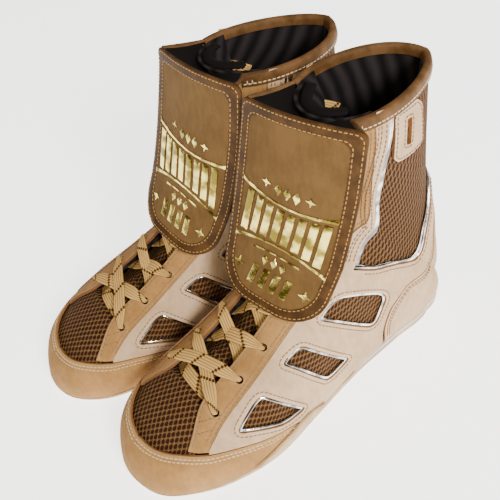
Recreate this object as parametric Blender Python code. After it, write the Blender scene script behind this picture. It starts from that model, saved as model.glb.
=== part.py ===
# Boxing boots, a pair.  Written in millimetres, turned into metres when each piece is made.
# A point on the upper has two numbers: k runs from the toe tip (0) over the instep to the
# collar (12), s runs from the ridge (0) down the outer side to the sole edge or the back
# seam (+1) and down the inner side to the same place (-1).
import bpy
import numpy as np
from mathutils import Vector
from mathutils.geometry import delaunay_2d_cdt

for old in list(bpy.data.objects):
    bpy.data.objects.remove(old, do_unlink=True)

# ---------------------------------------------------------------- form of one boot
# One row per station: sole edge (or back seam) forward and height, ridge forward and height,
# then for the outer and the inner side: half width at the sole edge, half width low on the
# wall, share of the section height where that width is reached, half width near the ridge.
ROWS = np.array([
    [281, 10, 277, 24, 0, 0, .40, 0, 0, 0, .40, 0],
    [273, 8, 265, 37, 26, 32, .45, 25, 22, 29, .45, 24],
    [252, 7.5, 246, 48, 41, 48, .48, 37, 36, 44, .48, 34],
    [225, 7, 219, 60, 50, 56, .50, 40, 41, 47, .50, 35],
    [192, 7, 184, 75, 53, 58, .50, 38, 42, 47, .50, 33],
    [153, 8, 153, 94, 46, 52, .50, 32, 38, 43, .50, 30],
    [110, 10, 130, 115, 38, 45, .45, 31, 32, 40, .45, 30],
    [68, 11, 115, 138, 34, 42, .38, 34, 31, 40, .38, 34],
    [30, 11, 106, 158, 30, 43, .25, 37, 29, 42, .25, 37],
    [4, 13, 102, 172, 0, 45, .05, 41, 0, 44, .05, 41],
    [1, 60, 101, 187, 0, 36, .08, 46, 0, 37, .04, 46],
    [6, 119, 102, 201, 0, 32, .12, 49, 0, 37, .06, 47],
    [5, 211, 102, 217, 0, 26, .12, 50, 0, 44, .03, 48],
], float)
LAST = len(ROWS) - 1
OUTER = ROWS[:, [0, 1, 2, 3, 4, 5, 6, 7]]
INNER = ROWS[:, [0, 1, 2, 3, 8, 9, 10, 11]]
FLIP = np.array([1, 1, 1, 1, -1, -1, 1, -1], float)


def station(k, table, other):
    """Row of the form at k, smooth through every station and across the toe tip."""
    full = np.vstack([other[1] * FLIP, table, 2 * table[-1] - table[-2]])
    i = np.minimum(k.astype(int), LAST - 1)
    t = (k - i)[..., None]
    a, b, c, d = full[i], full[i + 1], full[i + 2], full[i + 3]
    row = .5 * (2 * b + (c - a) * t + (2 * a - 5 * b + 4 * c - d) * t * t
                + (3 * b - a - 3 * c + d) * t ** 3)
    # the sole edge turns round the heel in a quarter circle between stations 8 and 9
    u = np.clip(k - 8, 0, 1) * np.pi / 2
    heel = k > 8
    row[..., 4] = np.where(heel, table[8][4] * np.cos(u), row[..., 4])
    row[..., 4] = np.where(k >= 9, 0, row[..., 4])
    turn = table[8][0] + (table[9][0] - table[8][0]) * np.sin(u)
    row[..., 0] = np.where(heel & (k < 9), turn, row[..., 0])
    return row


def point(k, s):
    """Surface point (outward, forward, up) in mm."""
    k, s = np.broadcast_arrays(np.asarray(k, float), np.asarray(s, float))
    back = k < 0
    k, s = np.abs(k), np.where(back, -s, s)
    s = np.where(s > 1, s - 2, np.where(s < -1, s + 2, s))
    over = np.maximum(k - LAST, 0)
    k = np.minimum(k, LAST)
    row = np.where((s >= 0)[..., None], station(k, OUTER, INNER), station(k, INNER, OUTER))
    p = section(row, s)
    if over.any():
        kk = np.full_like(k, LAST - .05)
        low = np.where((s >= 0)[..., None], station(kk, OUTER, INNER), station(kk, INNER, OUTER))
        p = p + (p - section(low, s)) * (over / .05)[..., None]
    return p


def section(row, s):
    q = 1 - np.abs(s)
    b0, b1, b2, b3 = (1 - q) ** 3, 3 * q * (1 - q) ** 2, 3 * q * q * (1 - q), q ** 3
    x = b0 * row[..., 4] + b1 * row[..., 5] + b2 * row[..., 7]
    h = b1 * row[..., 6] + b2 + b3
    f = row[..., 0] + (row[..., 2] - row[..., 0]) * h
    z = row[..., 1] + (row[..., 3] - row[..., 1]) * h
    return np.stack([np.where(s >= 0, 1, -1) * x, f, z], -1)


def normal(k, s):
    """Unit vector pointing out of the boot."""
    k, s = np.broadcast_arrays(np.asarray(k, float), np.asarray(s, float))
    e = .03
    k = np.where((np.abs(k) < .12) & (np.abs(s) < .06), .12, k)
    closed = (k >= 9) | (np.abs(s) < 1 - e)
    up = np.where(closed | (s < 0), s + e, s)
    down = np.where(closed | (s > 0), s - e, s)
    dk = point(np.minimum(k + e, LAST), s) - point(np.minimum(k, LAST) - e, s)
    ds = point(k, up) - point(k, down)
    n = np.cross(dk, ds)
    return n / np.linalg.norm(n, axis=-1)[..., None]


def lifted(k, s, off):
    off = np.broadcast_to(np.asarray(off, float), np.shape(point(k, s))[:-1])
    return point(k, s) + normal(k, s) * off[..., None]


# ---------------------------------------------------------------- standing the boots
SHIFT_Y = -4.266
TURN = np.radians(3.3)
STAND = {'left': (46.1, -9.3), 'right': (-46.1, 9.3)}
MID = 145.0


def world(p, boot):
    """Boot millimetres to metres in the shared frame; the right boot is the mirror image."""
    sign = 1 if boot == 'left' else -1
    a = TURN * sign
    x, y = p[..., 0] * sign, MID - p[..., 1]
    dx, dy = STAND[boot]
    return np.stack([np.cos(a) * x - np.sin(a) * y + dx,
                     np.sin(a) * x + np.cos(a) * y - dy + SHIFT_Y, p[..., 2]], -1) / 1000


# ---------------------------------------------------------------- materials
def material(name, color, rough, metal=0.0):
    mat = bpy.data.materials.new(name)
    mat.use_nodes = True
    sh = mat.node_tree.nodes['Principled BSDF']
    sh.inputs['Base Color'].default_value = (*color, 1)
    sh.inputs['Roughness'].default_value = rough
    sh.inputs['Metallic'].default_value = metal
    return mat


MATS = {
    'suede': material('suede', (.55, .40, .27), .92),
    'suede_pale': material('suede_pale', (.66, .53, .40), .92),
    'suede_flap': material('suede_flap', (.40, .25, .13), .9),
    'binding': material('binding_leather', (.45, .25, .11), .6),
    'flap_binding': material('flap_binding_leather', (.25, .12, .04), .6),
    'mesh': material('mesh_fabric', (.13, .055, .02), .9),
    'lining': material('lining_fabric', (.02, .016, .016), .9),
    'tongue': material('tongue_fabric', (.10, .05, .025), .9),
    'film': material('mirror_film', (.85, .86, .88), .12, 1.0),
    'gold': material('gold_foil', (.62, .55, .12), .25, 1.0),
    'lace': material('lace_cord', (.68, .46, .16), .85),
    'gum': material('gum_rubber', (.50, .36, .19), .6),
    'wedge': material('wedge_rubber', (.62, .58, .52), .6),
    'board': material('lasting_board', (.30, .25, .18), .9),
    'stiffener': material('stiffener_sheet', (.35, .32, .28), .7),
    'footbed': material('footbed_foam', (.05, .05, .055), .9),
}


def make(boot, name, verts, faces, mat, pivot=None):
    """One closed piece.  verts in boot mm, faces all wound the same way round."""
    w = world(np.asarray(verts, float), boot)
    base = np.zeros(3) if pivot is None else world(np.asarray(pivot, float), boot)
    size = 0.0
    for f in faces:
        for i in range(1, len(f) - 1):
            size += np.dot(w[f[0]], np.cross(w[f[i]], w[f[i + 1]]))
    if size < 0:
        faces = [tuple(reversed(f)) for f in faces]
    me = bpy.data.meshes.new(boot + '_' + name)
    me.from_pydata([tuple(v) for v in (w - base)], [], faces)
    me.validate()
    ob = bpy.data.objects.new(boot + '_' + name, me)
    ob.location = base
    ob.data.materials.append(MATS[mat])
    bpy.context.scene.collection.objects.link(ob)
    return ob


# ---------------------------------------------------------------- outlines and panels
COARSE = 1.35


def flat(p):
    """(k, s) laid out in a plane where equal steps suit the curvature of the boot."""
    p = np.asarray(p, float)
    k, s = p[:, 0], np.abs(p[:, 1])
    x = 18 * k + 16 * np.minimum(k, 2.2) + 32 * np.maximum(k - 7.5, 0) * s
    return np.stack([x, 125 * p[:, 1]], -1)


def unflat(q):
    s = q[:, 1] / 125
    toe = q[:, 0] / 34
    k = (q[:, 0] - 35.2) / 18
    high = (q[:, 0] - 35.2 + 240 * np.abs(s)) / (18 + 32 * np.abs(s))
    return np.stack([np.where(toe < 2.2, toe, np.where(k > 7.5, high, k)), s], -1)


def flap_flat(p):
    return np.asarray(p, float) * np.array([1, .7])


def flap_unflat(q):
    return q / np.array([1, .7])


UPPER = (flat, unflat)
FLAP = (flap_flat, flap_unflat)


def smooth(points, per=6, closed=False):
    """Soft curve through hand-set points."""
    p = np.asarray(points, float)
    n = len(p)
    out = []
    for i in range(n if closed else n - 1):
        a = p[(i - 1) % n] if closed or i > 0 else 2 * p[0] - p[1]
        b, c = p[i], p[(i + 1) % n]
        d = p[(i + 2) % n] if closed or i + 2 < n else 2 * p[-1] - p[-2]
        for j in range(per):
            t = j / per
            out.append(.5 * (2 * b + (c - a) * t + (2 * a - 5 * b + 4 * c - d) * t * t
                             + (3 * b - a - 3 * c + d) * t ** 3))
    if not closed:
        out.append(p[-1])
    return np.array(out)


def paced(line, step=9.0, space=UPPER):
    """The same line with points about one step apart, both ends kept."""
    line = space[0](line)
    d = np.r_[0, np.cumsum(np.linalg.norm(np.diff(line, axis=0), axis=1))]
    n = max(1, int(round(d[-1] / step / COARSE)))
    t = np.linspace(0, d[-1], n + 1)
    return space[1](np.stack([np.interp(t, d, line[:, 0]), np.interp(t, d, line[:, 1])], -1))


def curve(points, step=9.0, space=UPPER):
    return paced(smooth(points), step, space)


def ring(parts):
    """Closed outline made of several lines joined end to end."""
    pts = []
    for part in parts:
        pts.extend(np.asarray(part, float)[:-1].tolist())
    return np.array(pts)


def rounded(corners, radius, space=UPPER, steps=2):
    """Closed polygon with its corners rounded and its long sides divided."""
    c = space[0](corners)
    n = len(c)
    out = []
    for i in range(n):
        a, b, d = c[i - 1], c[i], c[(i + 1) % n]
        u, v = (a - b), (d - b)
        lu, lv = np.linalg.norm(u), np.linalg.norm(v)
        r = min(radius, lu * .4, lv * .4)
        p0, p1 = b + u / lu * r, b + v / lv * r
        for j in range(steps + 1):
            t = j / steps
            out.append(((1 - t) ** 2) * p0 + 2 * t * (1 - t) * b + t * t * p1)
        nxt = d - v / lv * min(radius, lv * .4)
        m = int(np.linalg.norm(nxt - p1) / (11 * COARSE))
        out.extend(p1 + (nxt - p1) * j / (m + 1) for j in range(1, m + 1))
    return space[1](np.array(out))


def inside(p, loop):
    x, y = p[:, 0][:, None], p[:, 1][:, None]
    a, b = loop, np.roll(loop, -1, 0)
    cross = (a[:, 1] > y) != (b[:, 1] > y)
    with np.errstate(divide='ignore', invalid='ignore'):
        xi = a[:, 0] + (y - a[:, 1]) * (b[:, 0] - a[:, 0]) / (b[:, 1] - a[:, 1])
    return (np.sum(cross & (x < xi), axis=1) % 2) == 1


def near(p, loop, dist):
    a, b = loop, np.roll(loop, -1, 0)
    ab = b - a
    t = ((p[:, None] - a) * ab).sum(-1) / np.maximum((ab * ab).sum(-1), 1e-12)
    c = a + ab * np.clip(t, 0, 1)[..., None]
    return np.linalg.norm(p[:, None] - c, axis=-1).min(1) < dist


def triangulate(outline, holes=(), grid=12.0, space=UPPER):
    """Triangles over an outline with holes: (points, faces), counter-clockwise."""
    grid = grid * COARSE
    loops = [space[0](l) for l in (outline, *holes)]
    lo, hi = loops[0].min(0), loops[0].max(0)
    fill = []
    gap = grid * .87
    for r in range(int(lo[1] / gap) - 1, int(hi[1] / gap) + 2):
        for c in range(int(lo[0] / grid) - 1, int(hi[0] / grid) + 2):
            fill.append(((c + .5 * (r % 2)) * grid, r * gap))
    fill = np.array(fill) if fill else np.zeros((0, 2))
    if len(fill):
        keep = inside(fill, loops[0]) & ~near(fill, loops[0], grid * .45)
        for h in loops[1:]:
            keep &= ~inside(fill, h) & ~near(fill, h, grid * .45)
        fill = fill[keep]
    pts, edges = [], []
    for l in loops:
        s = len(pts)
        pts.extend(l.tolist())
        edges.extend((s + i, s + (i + 1) % len(l)) for i in range(len(l)))
    pts.extend(fill.tolist())
    v, _, f, _, _, _ = delaunay_2d_cdt([Vector(p) for p in pts], edges, [], 0, 1e-5)
    v = np.array([tuple(p) for p in v])
    f = np.array([t for t in f if len(t) == 3])
    mid = v[f].mean(1)
    keep = inside(mid, loops[0])
    for h in loops[1:]:
        keep &= ~inside(mid, h)
    f = f[keep]
    a, b, c = v[f[:, 0]], v[f[:, 1]], v[f[:, 2]]
    area = (b[:, 0] - a[:, 0]) * (c[:, 1] - a[:, 1]) - (b[:, 1] - a[:, 1]) * (c[:, 0] - a[:, 0])
    f = f[np.abs(area) > 1e-6]
    area = area[np.abs(area) > 1e-6]
    f[area < 0] = f[area < 0][:, ::-1]
    return space[1](v), f


def thicken(low, high, tris):
    """Closed body between two copies of one triangle sheet."""
    used, index = np.unique(tris, return_inverse=True)
    tris = index.reshape(-1, 3)
    low, high = low[used], high[used]
    n = len(used)
    faces = [tuple(int(i) for i in t) for t in tris]
    faces += [tuple(int(i) + n for i in t[::-1]) for t in tris]
    seen = set()
    for a, b, c in tris:
        seen.update(((a, b), (b, c), (c, a)))
    for a, b in sorted(seen):
        if (b, a) not in seen:
            faces.append((int(b), int(a), int(a) + n, int(b) + n))
    return np.vstack([high, low]), faces


def welded(sheets):
    """Join sheets of (points, faces) that share edges in space."""
    pts, faces, where = [], [], {}
    for v, f in sheets:
        p = point(v[:, 0], v[:, 1])
        ids = []
        for i, q in enumerate(p):
            key = tuple(np.round(q, 2))
            if key not in where:
                where[key] = len(pts)
                pts.append(v[i])
            ids.append(where[key])
        ids = np.array(ids)
        g = ids[f]
        ok = (g[:, 0] != g[:, 1]) & (g[:, 1] != g[:, 2]) & (g[:, 2] != g[:, 0])
        faces.append(g[ok])
    return np.array(pts), np.vstack(faces)


def panel(boot, name, sheet, low, high, mat, pivot=None):
    v, f = sheet
    lo = low(v[:, 0], v[:, 1]) if callable(low) else low
    hi = high(v[:, 0], v[:, 1]) if callable(high) else high
    verts, faces = thicken(lifted(v[:, 0], v[:, 1], lo), lifted(v[:, 0], v[:, 1], hi), f)
    return make(boot, name, verts, faces, mat, pivot)


def mirrored(sheet):
    v, f = sheet
    return v * np.array([1, -1]), f[:, ::-1]


# side view millimetres (forward, up) to (k, s)
GK, GS = np.meshgrid(np.linspace(0, LAST, 481), np.linspace(.02, 1, 197), indexing='ij')
GP = point(GK, GS)


def side(f, z):
    i = np.argmin((GP[..., 1] - f) ** 2 + (GP[..., 2] - z) ** 2)
    return (GK.flat[i], GS.flat[i])


# ---------------------------------------------------------------- lines shared by pieces
# front edge of the eyestay, eyelet row, outer edge of the eyestay, upper edge of the rand,
# front edge of the heel foxing, all for the outer side; the inner side mirrors them
STAY_FRONT = [(2.09, .405), (2.45, .30), (2.9, .195), (3.5, .165), (4.6, .155), (7, .15), (9.5, .165),
              (11, .21), (12, .265)]
EYE_ROW = [(3.06, .305), (3.8, .262), (4.6, .25), (6, .24), (8, .24), (10, .265), (11.4, .30)]
STAY_OUT = [(2.55, .525), (2.8, .468), (3.3, .395), (4.2, .352), (5.4, .345), (7, .33), (8.4, .31),
            (10, .335), (11, .365), (12, .405)]
RAND_TOP = [(.98, 0), (1.12, .16), (1.42, .29), (1.95, .42), (2.46, .535), (3.05, .635), (3.66, .745),
            (4.3, .85), (4.85, 1.0)]
FOX_FRONT = [(6.75, 1.0), (6.95, .86), (7.45, .745), (8.2, .68), (9.1, .68), (10.1, .78), (10.75, 1.0)]
WIN_FRONT = [(12, .475), (11.5, .435), (11, .395), (10, .345), (8.8, .34), (7.9, .37), (7.2, .425)]
WIN_LOW = [(7.2, .425), (7.7, .51), (8.5, .56), (9.4, .615), (10.2, .72), (10.8, .86), (10.95, 1.0)]
WINDOWS = [
    [(3.16, .52), (3.9, .42), (4.74, .845), (4.17, .775)],
    [(4.56, .42), (5.12, .455), (5.98, .865), (5.36, .845)],
    [(5.7, .445), (6.42, .455), (7.5, .655), (6.72, .81)],
]


def eyelets(count=9):
    """Eyelets equally spaced in real millimetres along their row."""
    c = smooth(EYE_ROW, 40)
    p = point(c[:, 0], c[:, 1])
    d = np.r_[0, np.cumsum(np.linalg.norm(np.diff(p, axis=0), axis=1))]
    t = np.linspace(0, d[-1], count)
    return np.stack([np.interp(t, d, c[:, 0]), np.interp(t, d, c[:, 1])], -1)


EYES = eyelets()
HOLE = 2.7


def round_hole(k, s, r, n=7):
    """Small circle of real radius r drawn on the surface round (k, s)."""
    e = .02
    p = point(k, s)
    a = (point(k + e, s) - p) / e
    b = (point(k, s + e) - p) / e
    g = np.array([[a @ a, a @ b], [a @ b, b @ b]])
    w, q = np.linalg.eigh(g)
    m = q @ np.diag(1 / np.sqrt(w)) @ q.T
    t = np.arange(n) * 2 * np.pi / n + .3
    return np.array([k, s]) + (m @ np.stack([np.cos(t), np.sin(t)]) * r).T


EYE_HOLES = [round_hole(k, s, HOLE) for k, s in EYES]

# ---------------------------------------------------------------- sheets of one boot (outer side)
rand_front, rand_back = curve(RAND_TOP[:5]), curve(RAND_TOP[4:])
rand_line = np.vstack([rand_front, rand_back[1:]])
stay_front, stay_out = curve(STAY_FRONT), curve(STAY_OUT)
fox_front = curve(FOX_FRONT)
win_front, win_low = curve(WIN_FRONT), curve(WIN_LOW)


def beside(line, dist):
    """Line moved sideways in the layout plane, for the small gap between neighbours."""
    c = flat(line)
    d = np.gradient(c, axis=0)
    m = np.stack([d[:, 1], -d[:, 0]], -1) / np.linalg.norm(d, axis=1)[:, None]
    return unflat(c + m * dist)


def half_band(top, step=9.0):
    tip = paced([(0, 1), (0, .08)], step)
    corner = [(0, .08), (.14, 0)]
    ridge = paced([(.14, 0), (top[0][0], 0)], step)
    foot = paced([(top[-1][0], 1), (0, 1)], step)
    return ring([tip, corner, ridge, top, foot])


def both(half):
    return welded([half, mirrored(half)])


RAND_HALF = triangulate(half_band(rand_line))
PUFF_HALF = triangulate(half_band(curve([(.78, 0), (.93, .2), (1.25, .40), (1.7, .56), (2.1, .75), (2.3, 1.0)])))
VAMP_HALF = triangulate(half_band(paced([(2.76, 0), (2.76, 1)])))

toe_edge = curve([(.9, 0), (1.06, .2), (1.38, .35), (2.0, .49), (2.3, .42), (2.6, .335), (2.86, .26)])
TOE_MESH = triangulate(ring([toe_edge, paced([(2.86, .26), (2.86, -.26)]),
                             (toe_edge * np.array([1, -1]))[::-1]]))

stay_foot = [stay_out[0], (2.31, .468), stay_front[0]]
STAY = triangulate(ring([stay_front, paced([stay_front[-1], stay_out[-1]]), stay_out[::-1], stay_foot]),
                   EYE_HOLES)

over_front = beside(stay_out, -1.0)
over_rand = beside(rand_back, 1.2)
over_front[0] = over_rand[0] = over_front[0] + np.array([.03, .006])
over_rand[-1] = (over_rand[-1][0] + .03, 1.0)
over_fox = beside(fox_front, 1.4)
over_fox[0] = (over_fox[0][0], 1.0)
OVER_LOOP = ring([over_front, [over_front[-1], win_front[0]], win_front, win_low[:-1],
                  [win_low[-2], over_fox[-2]], over_fox[:-1][::-1],
                  paced([over_fox[0], over_rand[-1]]), over_rand[::-1]])
WIN_LOOPS = [rounded(w, 7.0) for w in WINDOWS]
OVERLAY = triangulate(OVER_LOOP, WIN_LOOPS)

# mirror film: a sheet behind the overlay that shows as a rim inside every window
film_a = curve([(11.9, .43), (11, .38), (10, .345), (8.4, .322), (7.0, .35), (5.4, .37), (4.0, .385),
                (3.2, .45), (2.95, .56)], 12)
film_b = curve([(2.95, .56), (3.62, .695), (4.2, .81), (4.7, .91), (5.2, .92)], 12)
film_c = curve([(6.45, .90), (6.75, .82), (7.3, .69), (8.1, .63), (9.0, .635), (9.9, .72), (10.4, .81)], 12)
film_d = beside(win_low, 2.6)[1:-1][::-1]
film_e = beside(win_front, 2.6)[:-1][::-1]
FILM_LOOP = ring([film_a, film_b, paced([film_b[-1], film_c[0]]), film_c, [film_c[-1], film_d[0]], film_d,
                  [film_d[-1], film_e[0]], film_e, [film_e[-1], film_a[0]]])
FILM_HOLES = [w.mean(0) + (w - w.mean(0)) * .83 for w in WIN_LOOPS]
FILM = triangulate(FILM_LOOP, FILM_HOLES)

# mesh side panel: from under the eyestay round to the back seam, stopping under the foxing
mesh_in = curve([(2.55, .58), (2.9, .49), (3.4, .42), (4.2, .375), (5.4, .365), (7, .35), (8.4, .325),
                 (10, .345), (11, .38), (12, .42)])
mesh_fox = curve([(6.9, .985), (7.1, .9), (7.6, .79), (8.3, .725), (9.1, .73), (9.9, .80), (10.45, .985)])
mesh_foot = curve([(4.9, .985), (4.2, .86), (3.5, .745), (2.9, .645), (2.55, .58)])
MESH_SIDE = triangulate(ring([mesh_in, paced([(12, .42), (12, .992)]), paced([(12, .992), mesh_fox[-1]]),
                              mesh_fox[::-1], paced([mesh_fox[0], (4.9, .985)]), mesh_foot]), grid=11)

lining_in = curve([(2.84, .26), (3.5, .205), (4.6, .19), (7, .19), (9.5, .195), (11, .23), (12, .285)])
LINING = triangulate(ring([lining_in, paced([(12, .285), (12, .992)]), paced([(12, .992), (9, .992)]),
                           [(9, .992), (8.9, 1)], paced([(8.9, 1), (2.84, 1)]),
                           paced([(2.84, 1), (2.84, .25)])]), EYE_HOLES)

# heel foxing and stiffener wrap the heel: outer half and inner half meet on the back seam
FOX_HALF = triangulate(ring([fox_front, paced([(10.75, 1.0), (9, 1)]), paced([(9, 1), (6.75, 1)])]))
stiff_front = curve([(7.3, 1.0), (7.45, .92), (7.9, .83), (8.5, .80), (9.1, .81), (9.7, .88), (10.2, 1.0)])
STIFF_HALF = triangulate(ring([stiff_front, paced([(10.2, 1.0), (9, 1)]), paced([(9, 1), (7.3, 1)])]))

PATCH = triangulate(np.array([(11.87, .515), (11.87, .66), (11.80, .70), (11.6, .708), (11.42, .715),
                              (11.36, .66), (11.29, .58), (11.22, .50), (11.26, .475), (11.5, .483),
                              (11.80, .495)]),
                    [np.array([(11.75, .565), (11.75, .60), (11.45, .59), (11.45, .555)])], grid=14)

wrap_top = curve([(3.35, .965), (3.7, .92), (4.2, .885), (4.7, .89), (5.15, .965)])

# ---------------------------------------------------------------- flap: real mm across and along
FB = np.linspace(-2, 172, 30)
FA = np.linspace(-46, 46, 33)
FLAP_LINE = [(102.2, 236), (102.6, 222), (109.5, 187.5), (119.5, 154), (133.5, 120.5), (153.5, 93),
             (180, 78), (206, 68)]
FLAP_BEND = 160.0
FLAP_YAW = {'left': 16.0, 'right': 12.0}
FLAP_TILT = 5.0
FLAP_SLANT = .13


def flap_grid():
    """Resting surface of the flap: stiffer than the boot under it, so it spans the hollow of
    the instep and bends across in one gentle arc.  FA is mm across, FB mm down."""
    line = smooth(FLAP_LINE, 24)
    d = np.r_[0, np.cumsum(np.linalg.norm(np.diff(line, axis=0), axis=1))]
    d = d - np.interp(-222.0, -line[:, 1], d)
    mid = np.stack([np.interp(FB, d, line[:, i]) for i in (0, 1)], -1)
    run = np.stack([np.interp(FB + 2, d, line[:, i]) - np.interp(FB - 2, d, line[:, i]) for i in (0, 1)], -1)
    run = run / np.linalg.norm(run, axis=1)[:, None]
    turn = FA / FLAP_BEND
    pos, nor = np.zeros((len(FB), len(FA), 3)), np.zeros((len(FB), len(FA), 3))
    out = np.stack([-run[:, 1], run[:, 0]], -1)
    sag = FLAP_BEND * (1 - np.cos(turn))
    pos[..., 0] = FLAP_BEND * np.sin(turn)
    nor[..., 0] = np.sin(turn)
    for i in (0, 1):
        pos[..., i + 1] = mid[:, None, i] - out[:, None, i] * sag
        nor[..., i + 1] = out[:, None, i] * np.cos(turn)
    return pos, nor


FLAP_POS, FLAP_NOR = flap_grid()


def on_flap(a, b, off):
    a, b = np.asarray(a, float), np.asarray(b, float)
    i = np.clip((b - FB[0]) / (FB[1] - FB[0]), 0, len(FB) - 1.001)
    j = np.clip((a - FA[0]) / (FA[1] - FA[0]), 0, len(FA) - 1.001)
    i0, j0 = i.astype(int), j.astype(int)
    u, v = (i - i0)[..., None], (j - j0)[..., None]

    def mix(g):
        return ((1 - u) * (1 - v) * g[i0, j0] + u * (1 - v) * g[i0 + 1, j0]
                + (1 - u) * v * g[i0, j0 + 1] + u * v * g[i0 + 1, j0 + 1])
    n = mix(FLAP_NOR)
    n = n / np.linalg.norm(n, axis=-1)[..., None]
    return mix(FLAP_POS) + n * np.asarray(off, float)[..., None]


FLAP_LEN = 143.0


def hung(p, boot):
    """A flap hangs a little turned and tilted on its fold.  Both lean the same way, so the
    mirrored boot takes the opposite signs.  The slant pulls the top edge level."""
    sign = 1 if boot == 'left' else -1
    tilt, yaw = np.radians(FLAP_TILT) * sign, np.radians(FLAP_YAW[boot]) * sign
    x, f, z = p[..., 0], p[..., 1] - 104, p[..., 2] - 160
    z = z + FLAP_SLANT * sign * x * np.clip(z / 50, 0, 1) ** 2
    x, z = np.cos(tilt) * x + np.sin(tilt) * z, np.cos(tilt) * z - np.sin(tilt) * x
    return np.stack([np.cos(yaw) * x + np.sin(yaw) * f,
                     104 + np.cos(yaw) * f - np.sin(yaw) * x, z + 160], -1)



def flap_outline(inset=0.0):
    """Small round top corners, straight sides, round bottom."""
    w = 42.0 - inset
    top, end = inset, FLAP_LEN - inset
    r = 30.0 - inset * .6
    right = np.vstack([(w - 6, top), (w - 1.8, top + 1.8),
                       paced([(w, top + 6), (w + .5, 40), (w, 90), (w - 2, end - r)], 10, FLAP)])
    turn = np.linspace(0, np.pi / 2, 5)[1:]
    arc = np.stack([w - 2 - (w - 12) * (1 - np.cos(turn)), end - r + r * np.sin(turn)], -1)
    half = np.vstack([right, arc])
    other = (half * np.array([-1, 1]))[::-1]
    return ring([half, [half[-1], other[0]], other, paced([other[-1], half[0]], 9, FLAP)])


def flap_panel(boot, name, sheet, low, high, mat, pivot):
    v, f = sheet
    n = len(v)
    f = f[:, ::-1]
    verts, faces = thicken(on_flap(v[:, 0], v[:, 1], np.full(n, low)),
                           on_flap(v[:, 0], v[:, 1], np.full(n, high)), f)
    return make(boot, name, hung(verts, boot), faces, mat, hung(pivot, boot))


BIND = 9.0
FLAP_SHEET = triangulate(flap_outline(BIND + .5), grid=9, space=FLAP)
RING_SHEET = triangulate(flap_outline(0), [flap_outline(BIND)], grid=30, space=FLAP)


EMBLEM_UP = 15.0


def emblem_sheet():
    """Ornament: two rows of slanted bars between flared rules, joined by a lozenge."""
    def flare(x, w):
        return 3.5 * (x / w) ** 2

    top = [(x, 74 + flare(x, 27) * 1.1) for x in np.linspace(-27, 27, 9)]
    low = [(x, 101 + 2 * flare(x, 25)) for x in np.linspace(25, 7, 4)]
    neck = [(3.5, 102), (8, 109), (3.5, 115.5)]
    row2 = [(8, 116), (18, 118), (18, 136), (8, 137)]
    row2b = [(-8, 137), (-18, 136), (-18, 118), (-8, 116)]
    neck2 = [(-3.5, 115.5), (-8, 109), (-3.5, 102)]
    low2 = [(x, 101 + 2 * flare(x, 25)) for x in np.linspace(-7, -25, 4)]
    loop = np.array(top + low + neck + row2 + row2b + neck2 + low2)
    holes = []
    for c in np.linspace(-18, 18, 6):
        t = 77 + flare(c, 27)
        holes.append(np.array([(c - 1, t), (c + 4.2, t), (c + 2.2, 97.5), (c - 3, 97.5)]))
    for c in (-11.5, -4, 4, 11.5):
        holes.append(np.array([(c - 1.5, 120), (c + 3, 120), (c + 1.5, 132.5), (c - 3, 132.5)]))
    up = np.array([0, EMBLEM_UP])
    return triangulate(loop - up, [h - up for h in holes], grid=40, space=FLAP)


EMBLEM = emblem_sheet()


# ---------------------------------------------------------------- swept pieces
def sweep(path, across, up, width, thick):
    """Closed flat ribbon: path points, unit vectors across and up, widths and thicknesses."""
    width, thick = np.asarray(width)[:, None] / 2, np.asarray(thick)[:, None] / 2
    c = [path + across * width + up * thick, path - across * width + up * thick,
         path - across * width - up * thick, path + across * width - up * thick]
    n = len(path)
    verts = np.vstack(c)
    faces = []
    for i in range(n - 1):
        for j in range(4):
            a, b = j * n + i, ((j + 1) % 4) * n + i
            faces.append((a, b, b + 1, a + 1))
    faces.append((0, 3 * n, 2 * n, n))
    faces.append((n - 1, 2 * n - 1, 3 * n - 1, 4 * n - 1))
    return verts, faces


def tangent_frame(path, up):
    d = np.gradient(path, axis=0)
    d = d / np.linalg.norm(d, axis=1)[:, None]
    a = np.cross(d, up)
    a = a / np.linalg.norm(a, axis=1)[:, None]
    return a, np.cross(a, d)


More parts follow.
